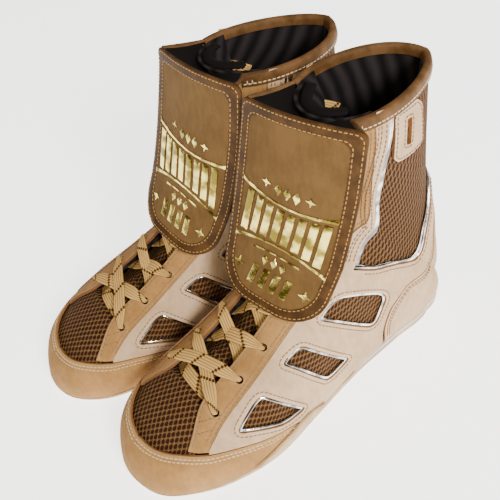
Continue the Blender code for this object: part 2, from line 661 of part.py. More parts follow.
def lace_path():
    """(k, s, offset, width, thickness) all along one lace, from end to end."""
    eye = [(k, s) for k, s in EYES]

    def through(i, sgn, down):
        k, s = eye[i]
        s = s * sgn
        seq = [(k, s, 5.2, 3.2, 1.6), (k, s, 0.0, 3.0, 1.6), (k, s, -5.6, 3.2, 1.6)]
        return seq if down else seq[::-1]

    def cross(i0, s0, i1, s1, over, start_under):
        (ka, sa), (kb, sb) = eye[i0], eye[i1]
        sa, sb = sa * s0, sb * s1
        out = []
        for t in (.10, .22, .36, .5, .64, .78, .90):
            k, s = ka + (kb - ka) * t, sa + (sb - sa) * t
            if start_under:
                o = np.interp(t, [.10, .22, .36, .5, .64, .78, .90], [-5.9, -5.3, -2.9, 0, 2.7, 4.8, 5.0])
            else:
                o = np.interp(t, [.10, .22, .36, .5, .64, .78, .90], [5.2, 5.2, 4.2, 3.2, 4.2, 5.2, 5.2])
            o = o + (1.15 if over else -1.0) * np.exp(-((t - .5) / .18) ** 2)
            w = 8.5 if .15 < t < .85 else 6.0
            out.append((k, s, o, w, 1.2))
        return out

    # strand one climbs from the outer first eyelet, strand two from the inner one
    def strand(first):
        seq = []
        sgn = first
        for i in range(8):
            seq += cross(i, sgn, i + 1, -sgn, (i + (first > 0)) % 2 == 0, i > 0)
            sgn = -sgn
            seq += through(i + 1, sgn, True)
        k, s = eye[8]
        seq += [(k + .01, s * sgn * 1.12, -5.4, 5, 1.2), (11.45, s * sgn * 1.35, -5.5, 7, 1.2),
                (11.4, s * sgn * 1.7, -5.6, 8, 1.2)]
        return seq

    bar = []
    k, s = eye[0]
    for t in (.10, .22, .36, .5, .64, .78, .90):
        o = np.interp(abs(t - .5), [0, .14, .28, .4], [0, -1.2, -4.8, -5.6])
        bar.append((k, s * (2 * t - 1), o, 8.5 if .15 < t < .85 else 6.0, 1.2))
    one = strand(1)
    two = strand(-1)
    full = two[::-1] + through(0, -1, True) + bar + through(0, 1, False) + one
    return np.array(full)


def lace(boot):
    raw = lace_path()
    pos = lifted(raw[:, 0], raw[:, 1], raw[:, 2])
    up = normal(np.minimum(raw[:, 0], 11.9), raw[:, 1])
    d = np.gradient(pos, axis=0)
    d = d / np.linalg.norm(d, axis=1)[:, None]
    # keep the flat side turned the same way when the lace dives through an eyelet
    across = np.cross(d, up)
    weak = np.linalg.norm(across, axis=1) < .45
    across = across / np.maximum(np.linalg.norm(across, axis=1), 1e-9)[:, None]
    for i in range(1, len(across)):
        if weak[i]:
            across[i] = across[i - 1]
    for i in range(1, len(across)):
        if across[i] @ across[i - 1] < 0:
            across[i] = -across[i]
    across = across - d * (across * d).sum(1)[:, None]
    across = across / np.linalg.norm(across, axis=1)[:, None]
    v, f = sweep(pos, across, np.cross(across, d), raw[:, 3], raw[:, 4])
    return make(boot, 'lace', v, f, 'lace')


def collar(boot):
    """Folded tape over the collar edge, from one front corner round the back to the other."""
    s = np.r_[np.linspace(.27, .94, 15), [.98, 1.02], np.linspace(1.06, 1.73, 15)]
    k = np.full(len(s), 12.0)
    c = point(k, s)
    n = normal(k, s)
    drop = point(k - .08, s) - c
    drop = drop / np.linalg.norm(drop, axis=1)[:, None]
    t = np.gradient(c, axis=0)
    t = t / np.linalg.norm(t, axis=1)[:, None]
    drop = drop - t * (drop * t).sum(1)[:, None]
    drop = drop / np.linalg.norm(drop, axis=1)[:, None]
    prof = [(-5.5, 5), (-4.6, 5), (-4.6, -.8), (4.9, -.8), (4.9, 6.5), (5.8, 6.5), (5.8, -1.2), (4.6, -2.2),
            (-4.4, -2.2), (-5.5, -1.2)]
    m = len(s)
    verts = np.vstack([c + n * o + drop * d for o, d in prof])
    faces = []
    q = len(prof)
    for i in range(m - 1):
        for j in range(q):
            a, b = j * m + i, ((j + 1) % q) * m + i
            faces.append((a, a + 1, b + 1, b))
    faces.append(tuple(j * m for j in range(q)))
    faces.append(tuple(j * m + m - 1 for j in reversed(range(q))))
    return make(boot, 'collar_binding', verts, faces, 'binding')


# ---------------------------------------------------------------- bottom pieces
def plan(k, grow, sgn):
    """Sole edge moved outward in plan."""
    p = point(k, np.full_like(k, sgn))
    d = point(k + .02, np.full_like(k, sgn)) - point(k - .02, np.full_like(k, sgn))
    d[..., 2] = 0
    d = d / np.linalg.norm(d, axis=-1)[..., None]
    out = np.stack([-d[..., 1], d[..., 0], 0 * d[..., 0]], -1) * sgn
    out[np.abs(k) < 1e-6] = (0, 1, 0)
    return p + out * grow


def slab(boot, name, ks, levels, mat):
    """Sole-shaped body from stacked rings: (grow, height function) from bottom to top."""
    n = len(ks)
    verts, faces = [], []
    for grow, height in levels:
        for sgn in (1, -1):
            p = plan(ks, grow, sgn)
            p[:, 2] = height(ks, p)
            verts.append(p)
    verts = np.vstack(verts)
    tip = ks[0] < 1e-6

    def vid(level, sgn, i):
        if tip and i == 0:
            sgn = 1
        return (level * 2 + (0 if sgn > 0 else 1)) * n + i

    def add(f):
        g = []
        for a in f:
            if a not in g:
                g.append(a)
        if len(g) > 2:
            faces.append(tuple(g))

    top = len(levels) - 1
    for i in range(n - 1):
        add((vid(0, 1, i), vid(0, -1, i), vid(0, -1, i + 1), vid(0, 1, i + 1)))
        add((vid(top, -1, i), vid(top, 1, i), vid(top, 1, i + 1), vid(top, -1, i + 1)))
        for l in range(top):
            add((vid(l, 1, i), vid(l, 1, i + 1), vid(l + 1, 1, i + 1), vid(l + 1, 1, i)))
            add((vid(l, -1, i + 1), vid(l, -1, i), vid(l + 1, -1, i), vid(l + 1, -1, i + 1)))
    for l in range(top):
        add((vid(l, 1, n - 1), vid(l, -1, n - 1), vid(l + 1, -1, n - 1), vid(l + 1, 1, n - 1)))
        if not tip:
            add((vid(l, -1, 0), vid(l, 1, 0), vid(l + 1, 1, 0), vid(l + 1, -1, 0)))
    used = sorted({a for f in faces for a in f})
    index = {a: i for i, a in enumerate(used)}
    return make(boot, name, verts[used], [tuple(index[a] for a in f) for f in faces], mat)


def edge_height(k):
    return point(k, np.ones_like(k))[:, 2]


def ground(k, p):
    return np.where(p[:, 1] > 205, 5.0 * ((p[:, 1] - 205) / 76) ** 2, 0)


def outsole_top(k, p):
    drop = np.clip((k - 5.5) / .9, 0, 1)
    return edge_height(k) - 1.8 - drop * (edge_height(k) - 1.8 - 4.6)


def bottoms(boot):
    ks = np.array([0, .15, .35, .6, .9, 1.3, 1.7, 2.2, 2.8, 3.4, 4.0, 4.6, 5.2, 5.5, 6.4, 7.0, 7.5, 8.0, 8.3,
                   8.55, 8.8, 9.0])
    slab(boot, 'outsole', ks, [(1.6, ground), (3.8, lambda k, p: ground(k, p) + 1.4),
                               (4.0, outsole_top)], 'gum')
    kw = np.array([5.95, 6.4, 7.0, 7.5, 8.0, 8.3, 8.55, 8.8, 9.0])
    slab(boot, 'heel_wedge', kw, [(3.9, lambda k, p: outsole_top(k, p) + .4),
                                  (3.4, lambda k, p: edge_height(k) - 1.8)], 'wedge')
    kb = np.array([.6, .85, 1.15, 1.6, 2.2, 3.0, 3.8, 4.6, 5.4, 6.2, 7.0, 7.6, 8.1, 8.45])
    slab(boot, 'lasting_board', kb, [(-5.0, lambda k, p: edge_height(k) + .2),
                                     (-5.0, lambda k, p: edge_height(k) + 1.7)], 'board')
    slab(boot, 'footbed', kb, [(-6.2, lambda k, p: edge_height(k) + 2.1),
                               (-5.8, lambda k, p: edge_height(k) + 5.0 + 1.5 * np.clip((k - 4) / 3, 0, 1))],
         'footbed')
    wrap = triangulate(ring([wrap_top, paced([wrap_top[-1], wrap_top[0]])]), grid=20)
    panel(boot, 'ball_wrap', wrap, 5.2, 6.8, 'gum')


# ---------------------------------------------------------------- tongue
def tongue_sheet():
    k_side = curve([(2.88, .30), (4, .31), (6, .31), (8.5, .33), (10.5, .36), (12.0, .40)])
    s_top = np.linspace(.40, 0, 6)
    rise = point(12.0, s_top)[..., 2]
    slope = (point(12.0, s_top)[..., 2] - point(11.9, s_top)[..., 2]) / .1
    k_top = 12 + np.clip((223.5 - 4 * (s_top / .4) ** 2 - rise) / slope, 0, None)
    half = np.vstack([k_side, np.stack([k_top, s_top], -1)])
    other = (half * np.array([1, -1]))[::-1]
    return triangulate(ring([half, other, paced([other[-1], half[0]])]), grid=12)


TONGUE = tongue_sheet()


def tongue_high(k, s):
    bump = 3.1 + 2.2 * np.clip((3.9 - k) / .6, 0, 1)
    return -8.3 + bump * np.exp(-(s / .12) ** 2)


def tongue_low(k, s):
    edge = np.clip((.40 - np.abs(s)) / .15, 0, 1)
    return tongue_high(k, s) - 3.0 - 3.5 * edge


# ---------------------------------------------------------------- both boots
HINGE = point(12, 0) + np.array([0, 4.0, 6.5])

for boot in ('left', 'right'):
    bottoms(boot)
    for name, sgn in (('lateral', 1), ('medial', -1)):
        def flip(sheet):
            return sheet if sgn > 0 else mirrored(sheet)
        panel(boot, name + '_lining', flip(LINING), -3.9, -1.5, 'lining')
        panel(boot, name + '_mesh', flip(MESH_SIDE), 0.0, .8, 'mesh')
        panel(boot, name + '_window_film', flip(FILM), 1.8, 2.1, 'film')
        panel(boot, name + '_overlay', flip(OVERLAY), 3.1, 4.2, 'suede_pale')
        panel(boot, name + '_eyestay', flip(STAY), 1.8, 3.5, 'suede')
        panel(boot, name + '_patch', flip(PATCH), 1.8, 3.2, 'suede_pale')
    panel(boot, 'vamp_lining', both(VAMP_HALF), -3.9, -1.3, 'lining')
    panel(boot, 'toe_puff', both(PUFF_HALF), 0.1, .7, 'stiffener')
    panel(boot, 'toe_mesh', TOE_MESH, 0.0, .8, 'mesh')
    panel(boot, 'toe_rand', both(RAND_HALF), 2.1, 3.8, 'suede')
    panel(boot, 'heel_stiffener', both(STIFF_HALF), 0.4, 1.0, 'stiffener')
    panel(boot, 'heel_foxing', both(FOX_HALF), 2.5, 4.1, 'suede_pale')
    collar(boot)
    panel(boot, 'tongue', TONGUE, tongue_low, tongue_high, 'tongue')
    lace(boot)
    flap_panel(boot, 'flap', FLAP_SHEET, 7.6, 9.0, 'suede_flap', HINGE)
    flap_panel(boot, 'flap_binding', RING_SHEET, 7.4, 9.5, 'flap_binding', HINGE)
    flap_panel(boot, 'flap_emblem', EMBLEM, 10.3, 11.0, 'gold', HINGE)
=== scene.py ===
import bpy
import numpy as np
from mathutils import Matrix, Vector
from mathutils.geometry import delaunay_2d_cdt
from mathutils.kdtree import KDTree

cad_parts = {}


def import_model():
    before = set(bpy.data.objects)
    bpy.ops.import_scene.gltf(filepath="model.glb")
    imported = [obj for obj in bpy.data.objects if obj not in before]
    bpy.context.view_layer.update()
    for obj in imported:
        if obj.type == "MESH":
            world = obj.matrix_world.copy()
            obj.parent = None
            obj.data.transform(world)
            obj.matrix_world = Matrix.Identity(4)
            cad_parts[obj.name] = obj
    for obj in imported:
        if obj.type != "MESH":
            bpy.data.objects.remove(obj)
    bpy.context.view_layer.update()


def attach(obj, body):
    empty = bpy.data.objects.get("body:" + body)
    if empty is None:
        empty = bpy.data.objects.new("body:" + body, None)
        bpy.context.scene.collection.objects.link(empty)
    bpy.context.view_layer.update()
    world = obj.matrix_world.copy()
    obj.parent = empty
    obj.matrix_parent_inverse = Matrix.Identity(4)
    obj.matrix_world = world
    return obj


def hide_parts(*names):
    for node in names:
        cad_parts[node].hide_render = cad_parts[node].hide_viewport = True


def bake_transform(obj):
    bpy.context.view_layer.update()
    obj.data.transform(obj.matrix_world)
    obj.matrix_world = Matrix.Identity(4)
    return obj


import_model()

# ---------------------------------------------------------------- form of one boot
# One row per station: sole edge (or back seam) forward and height, ridge forward and height,
# then for the outer and the inner side: half width at the sole edge, half width low on the
# wall, share of the section height where that width is reached, half width near the ridge.
ROWS = np.array([
    [281, 10, 277, 24, 0, 0, .40, 0, 0, 0, .40, 0],
    [273, 8, 265, 37, 26, 32, .45, 25, 22, 29, .45, 24],
    [252, 7.5, 246, 48, 41, 48, .48, 37, 36, 44, .48, 34],
    [225, 7, 219, 60, 50, 56, .50, 40, 41, 47, .50, 35],
    [192, 7, 184, 75, 53, 58, .50, 38, 42, 47, .50, 33],
    [153, 8, 153, 94, 46, 52, .50, 32, 38, 43, .50, 30],
    [110, 10, 130, 115, 38, 45, .45, 31, 32, 40, .45, 30],
    [68, 11, 115, 138, 34, 42, .38, 34, 31, 40, .38, 34],
    [30, 11, 106, 158, 30, 43, .25, 37, 29, 42, .25, 37],
    [4, 13, 102, 172, 0, 45, .05, 41, 0, 44, .05, 41],
    [1, 60, 101, 187, 0, 36, .08, 46, 0, 37, .04, 46],
    [6, 119, 102, 201, 0, 32, .12, 49, 0, 37, .06, 47],
    [5, 211, 102, 217, 0, 26, .12, 50, 0, 44, .03, 48],
], float)
LAST = len(ROWS) - 1
HEEL, SEAM = 8, 9   # the sole edge turns round the heel from one to the other
OUTER = ROWS[:, :8]
INNER = ROWS[:, [0, 1, 2, 3, 8, 9, 10, 11]]
FLIP = np.array([1, 1, 1, 1, -1, -1, 1, -1], float)


def spline(a, b, c, d, t):
    """Soft curve from b to c while t goes from 0 to 1; a comes before them and d after."""
    return .5 * (2 * b + (c - a) * t + (2 * a - 5 * b + 4 * c - d) * t * t
                 + (3 * b - a - 3 * c + d) * t ** 3)


def clamp(x):
    return np.clip(x, 0, 1)


def eased(x):
    """Soft change from 0 to 1 while x goes from 0 to 1."""
    x = clamp(x)
    return x * x * (3 - 2 * x)


def station(k, table, other):
    """Row of the form at k, smooth through every station and across the toe tip."""
    full = np.vstack([other[1] * FLIP, table, 2 * table[-1] - table[-2]])
    i = np.minimum(k.astype(int), LAST - 1)
    row = spline(full[i], full[i + 1], full[i + 2], full[i + 3], (k - i)[..., None])
    # the sole edge turns round the heel in a quarter circle
    u = clamp(k - HEEL) * np.pi / 2
    row[..., 4] = np.where(k > HEEL, table[HEEL][4] * np.cos(u), row[..., 4])
    row[..., 4] = np.where(k >= SEAM, 0, row[..., 4])
    turn = table[HEEL][0] + (table[SEAM][0] - table[HEEL][0]) * np.sin(u)
    row[..., 0] = np.where((k > HEEL) & (k < SEAM), turn, row[..., 0])
    return row


def section(row, s):
    q = 1 - np.abs(s)
    b0, b1, b2, b3 = (1 - q) ** 3, 3 * q * (1 - q) ** 2, 3 * q * q * (1 - q), q ** 3
    x = b0 * row[..., 4] + b1 * row[..., 5] + b2 * row[..., 7]
    h = b1 * row[..., 6] + b2 + b3
    return cols(np.where(s >= 0, 1, -1) * x, row[..., 0] + (row[..., 2] - row[..., 0]) * h,
                row[..., 1] + (row[..., 3] - row[..., 1]) * h)


def point(k, s):
    """Surface point (outward, forward, up) in mm."""
    k, s = np.broadcast_arrays(np.asarray(k, float), np.asarray(s, float))
    back = k < 0
    k, s = np.abs(k), np.where(back, -s, s)
    s = np.where(s > 1, s - 2, np.where(s < -1, s + 2, s))
    over = np.maximum(k - LAST, 0)
    k = np.minimum(k, LAST)
    row = np.where((s >= 0)[..., None], station(k, OUTER, INNER), station(k, INNER, OUTER))
    p = section(row, s)
    if over.any():
        kk = np.full_like(k, LAST - .05)
        low = np.where((s >= 0)[..., None], station(kk, OUTER, INNER), station(kk, INNER, OUTER))
        p = p + (p - section(low, s)) * (over / .05)[..., None]
    return p


def cols(*numbers):
    """Points made of their separate coordinates."""
    return np.stack(np.broadcast_arrays(*numbers), -1)


def unit(v):
    return v / np.maximum(np.linalg.norm(v, axis=-1), 1e-9)[..., None]


def normal(k, s):
    """Unit vector pointing out of the boot."""
    k, s = np.broadcast_arrays(np.asarray(k, float), np.asarray(s, float))
    e = .03
    k = np.where((np.abs(k) < .12) & (np.abs(s) < .06), .12, k)
    closed = (k >= SEAM) | (np.abs(s) < 1 - e)
    up = np.where(closed | (s < 0), s + e, s)
    down = np.where(closed | (s > 0), s - e, s)
    dk = point(np.minimum(k + e, LAST), s) - point(np.minimum(k, LAST) - e, s)
    return unit(np.cross(dk, point(k, up) - point(k, down)))


def lifted(k, s, off):
    base = point(k, s)
    off = np.broadcast_to(np.asarray(off, float), base.shape[:-1])
    return base + normal(k, s) * off[..., None]


# ---------------------------------------------------------------- standing the boots
# each boot is turned about its middle, MID forward of its own origin, and set down at its
# place; the shift brings the middle of the pair's box to the frame's own middle
SHIFT_Y = -4.266
TURN = np.radians(3.3)
STAND = {'left': (46.1, -9.3), 'right': (-46.1, 9.3)}
MID = 145.0


def world(p, boot):
    """Boot millimetres to metres in the shared frame; the right boot is the mirror image."""
    sign = 1 if boot == 'left' else -1
    a = TURN * sign
    x, y = p[..., 0] * sign, MID - p[..., 1]
    dx, dy = STAND[boot]
    return cols(np.cos(a) * x - np.sin(a) * y + dx,
                np.sin(a) * x + np.cos(a) * y - dy + SHIFT_Y, p[..., 2]) / 1000


FLAP_YAW = {'left': 16.0, 'right': 12.0}
FLAP_TILT = 5.0
FLAP_SLANT = .13
FOLD_Y, FOLD_Z = 104, 160


def hung(p, boot):
    """A flap hangs a little turned and tilted on its fold.  Both lean the same way, so the
    mirrored boot takes the opposite signs.  The slant pulls the top edge level."""
    sign = 1 if boot == 'left' else -1
    tilt, yaw = np.radians(FLAP_TILT) * sign, np.radians(FLAP_YAW[boot]) * sign
    x, f, z = p[..., 0], p[..., 1] - FOLD_Y, p[..., 2] - FOLD_Z
    z = z + FLAP_SLANT * sign * x * clamp(z / 50) ** 2
    x, z = np.cos(tilt) * x + np.sin(tilt) * z, np.cos(tilt) * z - np.sin(tilt) * x
    return cols(np.cos(yaw) * x + np.sin(yaw) * f, np.cos(yaw) * f - np.sin(yaw) * x + FOLD_Y, z + FOLD_Z)


# ---------------------------------------------------------------- lines and layout planes
THROAT, ANKLE, WIDE = 2.2, 7.5, 125


def plane(pitch, toe, fan):
    """Two functions that lay (k, s) out flat, in millimetres, and bring it back.  pitch is the
    step of a station, toe is added to it before the throat, fan opens the shaft."""
    def there(p):
        p = np.asarray(p, float)
        k, s = p[:, 0], np.abs(p[:, 1])
        x = pitch * k + toe * np.minimum(k, THROAT) + fan * np.maximum(k - ANKLE, 0) * s
        return cols(x, WIDE * p[:, 1])

    def back(q):
        s = q[:, 1] / WIDE
        first = q[:, 0] / (pitch + toe)
        x = q[:, 0] - toe * THROAT
        high = (x + fan * ANKLE * np.abs(s)) / (pitch + fan * np.abs(s))
        k = np.where(x / pitch > ANKLE, high, x / pitch)
        return cols(np.where(first < THROAT, first, k), s)

    return there, back


LAYOUT = plane(18, 16, 32)   # where neighbouring pieces are spaced apart
UPPER = plane(28, 8, 45)     # close to true millimetres, for even triangles
PLAIN = (np.asarray, np.asarray)


def run(p):
    """Distance along a line at each of its points."""
    return np.r_[0, np.cumsum(np.linalg.norm(np.diff(p, axis=0), axis=1))]


def at(t, d, p):
    """Points of a line at distances t; d is the line's own run."""
    return cols(*(np.interp(t, d, column) for column in np.transpose(p)))


def flipped(line):
    return np.asarray(line, float) * (1, -1)


def smooth(points, per=8, closed=False):
    """Soft curve through given points."""
    p = np.asarray(points, float)
    n = len(p)
    out = []
    for i in range(n if closed else n - 1):
        a = p[(i - 1) % n] if closed or i > 0 else 2 * p[0] - p[1]
        b, c = p[i], p[(i + 1) % n]
        d = p[(i + 2) % n] if closed or i + 2 < n else 2 * p[-1] - p[-2]
        out.append(spline(a, b, c, d, (np.arange(per) / per)[:, None]))
    if not closed:
        out.append(p[-1:])
    return np.vstack(out)


def paced(line, step=2.4, space=LAYOUT):
    """The same line with points about one step apart, both ends kept."""
    line = space[0](line)
    d = run(line)
    return space[1](at(np.linspace(0, d[-1], max(1, int(round(d[-1] / step))) + 1), d, line))


def curve(points, step=2.4, space=LAYOUT):
    return paced(smooth(points), step, space)


def straight(*corners):
    """Straight divided lines from corner to corner."""
    return [paced(pair) for pair in zip(corners, corners[1:])]


def ring(parts):
    """Closed outline made of several lines joined end to end."""
    return np.vstack([np.asarray(part, float)[:-1] for part in parts])


def rounded(corners, radius, space=LAYOUT, steps=6, step=2.4):
    """Closed polygon with its corners rounded and its sides divided."""
    c = space[0](corners)
    n = len(c)
    out = []
    for i in range(n):
        a, b, d = c[i - 1], c[i], c[(i + 1) % n]
        u, v = a - b, d - b
        lu, lv = np.linalg.norm(u), np.linalg.norm(v)
        r = min(radius, lu * .4, lv * .4)
        p0, p1 = b + u / lu * r, b + v / lv * r
        for t in np.linspace(0, 1, steps + 1):
            out.append((1 - t) ** 2 * p0 + 2 * t * (1 - t) * b + t * t * p1)
        end = d - v / lv * min(radius, lv * .4)
        m = int(np.linalg.norm(end - p1) / step)
        out.extend(p1 + (end - p1) * j / (m + 1) for j in range(1, m + 1))
    return space[1](np.array(out))


def beside(line, dist):
    """Line moved sideways in the layout plane, for the small gap between neighbours."""
    c = LAYOUT[0](line)
    d = unit(np.gradient(c, axis=0))
    return LAYOUT[1](c + cols(d[:, 1], -d[:, 0]) * dist)


def shifted(line, dist, closed=False):
    """Line moved sideways over the surface by real millimetres."""
    line = np.asarray(line, float)
    k, s = line.T
    e = .01
    p = point(k, s)
    a = (point(k + e, s) - point(k - e, s)) / (2 * e)
    b = (point(k, s + e) - point(k, s - e)) / (2 * e)
    t = np.roll(p, -1, 0) - np.roll(p, 1, 0) if closed else np.gradient(p, axis=0)
    w = unit(np.cross(normal(k, s), t)) * np.reshape(dist, (-1, 1))
    aa, ab, bb = (a * a).sum(1), (a * b).sum(1), (b * b).sum(1)
    wa, wb = (w * a).sum(1), (w * b).sum(1)
    det = aa * bb - ab * ab
    return line + cols((wa * bb - wb * ab) / det, (wb * aa - wa * ab) / det)


def inside(p, loop):
    x, y = p[:, 0][:, None], p[:, 1][:, None]
    a, b = loop, np.roll(loop, -1, 0)
    cross = (a[:, 1] > y) != (b[:, 1] > y)
    with np.errstate(divide='ignore', invalid='ignore'):
        xi = a[:, 0] + (y - a[:, 1]) * (b[:, 0] - a[:, 0]) / (b[:, 1] - a[:, 1])
    return (np.sum(cross & (x < xi), axis=1) % 2) == 1


def reach(points, target):
    """Distance from each point to the nearest target point, for points of two or three numbers."""
    if not len(target):
        return np.full(len(points), 99.0)
    tree = KDTree(len(target))
    for i, p in enumerate(target):
        tree.insert((*p, 0)[:3], i)
    tree.balance()
    return np.array([tree.find((*p, 0)[:3])[2] for p in points])


def cells(outline, holes=(), grid=3.2, marks=(), space=UPPER):
    """Triangles over an outline with holes: (points, faces), counter-clockwise.
    marks are lines whose points become vertices, so that a groove or crease can follow them."""
    loops = [space[0](l) for l in (outline, *holes)]
    lo, hi = loops[0].min(0), loops[0].max(0)
    gap = grid * .87
    fill = np.array([((c + .5 * (r % 2)) * grid, r * gap)
                     for r in range(int(lo[1] / gap) - 1, int(hi[1] / gap) + 2)
                     for c in range(int(lo[0] / grid) - 1, int(hi[0] / grid) + 2)])
    extra = np.vstack([space[0](m) for m in marks]) if len(marks) else np.zeros((0, 2))

    def clear(p):
        keep = inside(p, loops[0])
        for h in loops[1:]:
            keep &= ~inside(p, h)
        return keep

    def allowed(p, margin):
        p = p[clear(p)]
        return p[reach(p, np.vstack(loops)) > margin] if len(p) else p

    extra = allowed(extra, .25)
    fill = allowed(fill, grid * .45)
    if len(extra):
        fill = fill[reach(fill, extra) > grid * .5]
    pts, edges = [], []
    for l in loops:
        s = len(pts)
        pts.extend(l.tolist())
        edges.extend((s + i, s + (i + 1) % len(l)) for i in range(len(l)))
    pts.extend(extra.tolist())
    pts.extend(fill.tolist())
    v, _, f, _, _, _ = delaunay_2d_cdt([Vector(p) for p in pts], edges, [], 0, 1e-5)
    v = np.array([tuple(p) for p in v])
    f = np.array([t for t in f if len(t) == 3])
    f = f[clear(v[f].mean(1))]
    a, b, c = v[f[:, 0]], v[f[:, 1]], v[f[:, 2]]
    area = (b[:, 0] - a[:, 0]) * (c[:, 1] - a[:, 1]) - (b[:, 1] - a[:, 1]) * (c[:, 0] - a[:, 0])
    f, area = f[np.abs(area) > 1e-7], area[np.abs(area) > 1e-7]
    f[area < 0] = f[area < 0][:, ::-1]
    return space[1](v), f


def mirrored(sheet):
    v, f = sheet
    return flipped(v), f[:, ::-1]


def both_sides(lines):
    return [*lines, *(flipped(line) for line in lines)]


def welded(sheets):
    """Join sheets of (points, faces) that share edges in space."""
    pts, faces, where = [], [], {}
    for v, f in sheets:
        p = point(v[:, 0], v[:, 1])
        ids = []
        for i, q in enumerate(p):
            key = tuple(np.round(q, 2))
            if key not in where:
                where[key] = len(pts)
                pts.append(v[i])
            ids.append(where[key])
        g = np.array(ids)[f]
        ok = (g[:, 0] != g[:, 1]) & (g[:, 1] != g[:, 2]) & (g[:, 2] != g[:, 0])
        faces.append(g[ok])
    return np.array(pts), np.vstack(faces)


def joined(parts):
    """Several (points, faces) as one, nothing welded."""
    start = np.cumsum([0] + [len(v) for v, f in parts])
    return (np.vstack([v for v, f in parts]),
            [tuple(i + n for i in face) for (v, f), n in zip(parts, start) for face in f])


def both(half):
    return welded([half, mirrored(half)])


# ---------------------------------------------------------------- materials
def put(node, **values):
    """Sets the inputs of a node by name."""
    for key, value in values.items():
        node.inputs[key.replace('_', ' ')].default_value = value
    return node


def shader(name, rough, **values):
    """A new Principled material: (material, node tree, shader node)."""
    mat = bpy.data.materials.new(name)
    mat.use_nodes = True
    sh = mat.node_tree.nodes['Principled BSDF']
    put(sh, Roughness=rough, Specular_IOR_Level=.5 if rough < .6 else .12)
    return mat, mat.node_tree, put(sh, **values)


def add(nt, kind, *links, **values):
    """Node of a kind, its inputs linked or set in order, its properties set by name."""
    n = nt.nodes.new('ShaderNode' + kind)
    for key, value in values.items():
        setattr(n, key, value)
    for i, v in enumerate(links):
        if v is None:
            continue
        if isinstance(v, bpy.types.NodeSocket):
            nt.links.new(v, n.inputs[i])
        else:
            n.inputs[i].default_value = v
    return n


def maths(nt, op, a, b=0.0, c=0.0):
    return add(nt, 'Math', a, b, c, operation=op).outputs[0]


def noise(nt, where, scale, detail=3.0, rough=.55, stretch=None):
    """Noise from 0 to 1; scale counts features to a metre or to a texture unit."""
    if stretch:
        where = add(nt, 'Mapping', where, None, None, stretch).outputs[0]
    n = put(add(nt, 'TexNoise', where), Scale=scale, Detail=detail, Roughness=rough)
    return n.outputs[0]


def step_up(nt, value, low, high):
    """Smooth change from 0 at low to 1 at high."""
    return add(nt, 'MapRange', value, low, high, 0.0, 1.0, interpolation_type='SMOOTHSTEP').outputs[0]


def blend_color(nt, fac, a, b):
    n = nt.nodes.new('ShaderNodeMix')
    n.data_type = 'RGBA'
    for i, v in ((0, fac), (6, a), (7, b)):
        if isinstance(v, bpy.types.NodeSocket):
            nt.links.new(v, n.inputs[i])
        else:
            n.inputs[i].default_value = v if i == 0 else (*v, 1)
    return n.outputs[2]


def finished(made, color, height, distance, strength):
    """Links a colour and a bump to a new material, and gives the material."""
    mat, nt, sh = made
    n = put(add(nt, 'Bump'), Strength=strength, Distance=distance)
    nt.links.new(height, n.inputs['Height'])
    nt.links.new(n.outputs[0], sh.inputs['Normal'])
    nt.links.new(color, sh.inputs['Base Color'])
    return mat


def place(nt, kind='Object'):
    return nt.nodes.new('ShaderNodeTexCoord').outputs[kind]


def suede(name, dark, light, edge):
    """Napped suede: cloudy brushed patches, short fibres, worn paler at its rims."""
    made = shader(name, .93, Sheen_Weight=.06, Sheen_Roughness=.5, Sheen_Tint=(1, .86, .7, 1))
    nt = made[1]
    o = place(nt)
    clouds = noise(nt, o, 34, 4, .6)
    nap = noise(nt, o, 260, 3, .6, (1, 1, .35))
    fibre = noise(nt, o, 2600, 2, .7)
    mix = maths(nt, 'MULTIPLY_ADD', nap, .45, maths(nt, 'MULTIPLY', clouds, .75))
    col = blend_color(nt, step_up(nt, mix, .42, .78), dark, light)
    speck = blend_color(nt, step_up(nt, fibre, .35, .62), [c * .72 for c in light], light)
    col = blend_color(nt, .3, col, speck)
    rim = add(nt, 'Attribute', attribute_name='rim').outputs['Fac']
    col = blend_color(nt, maths(nt, 'MULTIPLY', rim, .55), col, edge)
    height = maths(nt, 'MULTIPLY_ADD', fibre, .6, maths(nt, 'MULTIPLY', nap, .6))
    return finished(made, col, height, .0006, .55)


def hole_field(nt, uv, px, py, rx, ry):
    """Staggered rows of oval holes: 0 at a hole's middle, 1 at its rim; sizes in UV units."""
    best = None
    for ox, oy in ((0, 0), (.5, .5)):
        cell = add(nt, 'Mapping', uv, (ox, oy, 0), None, (1 / px, 1 / py, 1)).outputs[0]
        for op, by in ('FRACTION', None), ('SUBTRACT', (.5, .5, 0)), ('MULTIPLY', (px / rx, py / ry, 0)):
            cell = add(nt, 'VectorMath', cell, by, operation=op).outputs[0]
        d = add(nt, 'VectorMath', cell, operation='LENGTH').outputs['Value']
        best = d if best is None else maths(nt, 'MINIMUM', best, d)
    return best


def mesh_cloth(name, yarn, yarn_light, hole):
    """Knitted mesh: staggered oval holes between rounded yarns.  UV is in centimetres."""
    made = shader(name, .85)
    nt = made[1]
    uv = place(nt, 'UV')
    d = hole_field(nt, uv, .44, .60, .135, .19)
    fine_yarn = noise(nt, uv, 60, 2, .6, (1, .3, 1))
    col = blend_color(nt, step_up(nt, fine_yarn, .3, .7), yarn, yarn_light)
    col = blend_color(nt, step_up(nt, d, .78, 1.12), hole, col)
    high = maths(nt, 'MULTIPLY_ADD', fine_yarn, .15, step_up(nt, d, .6, 1.7))
    return finished(made, col, high, .0012, .9)


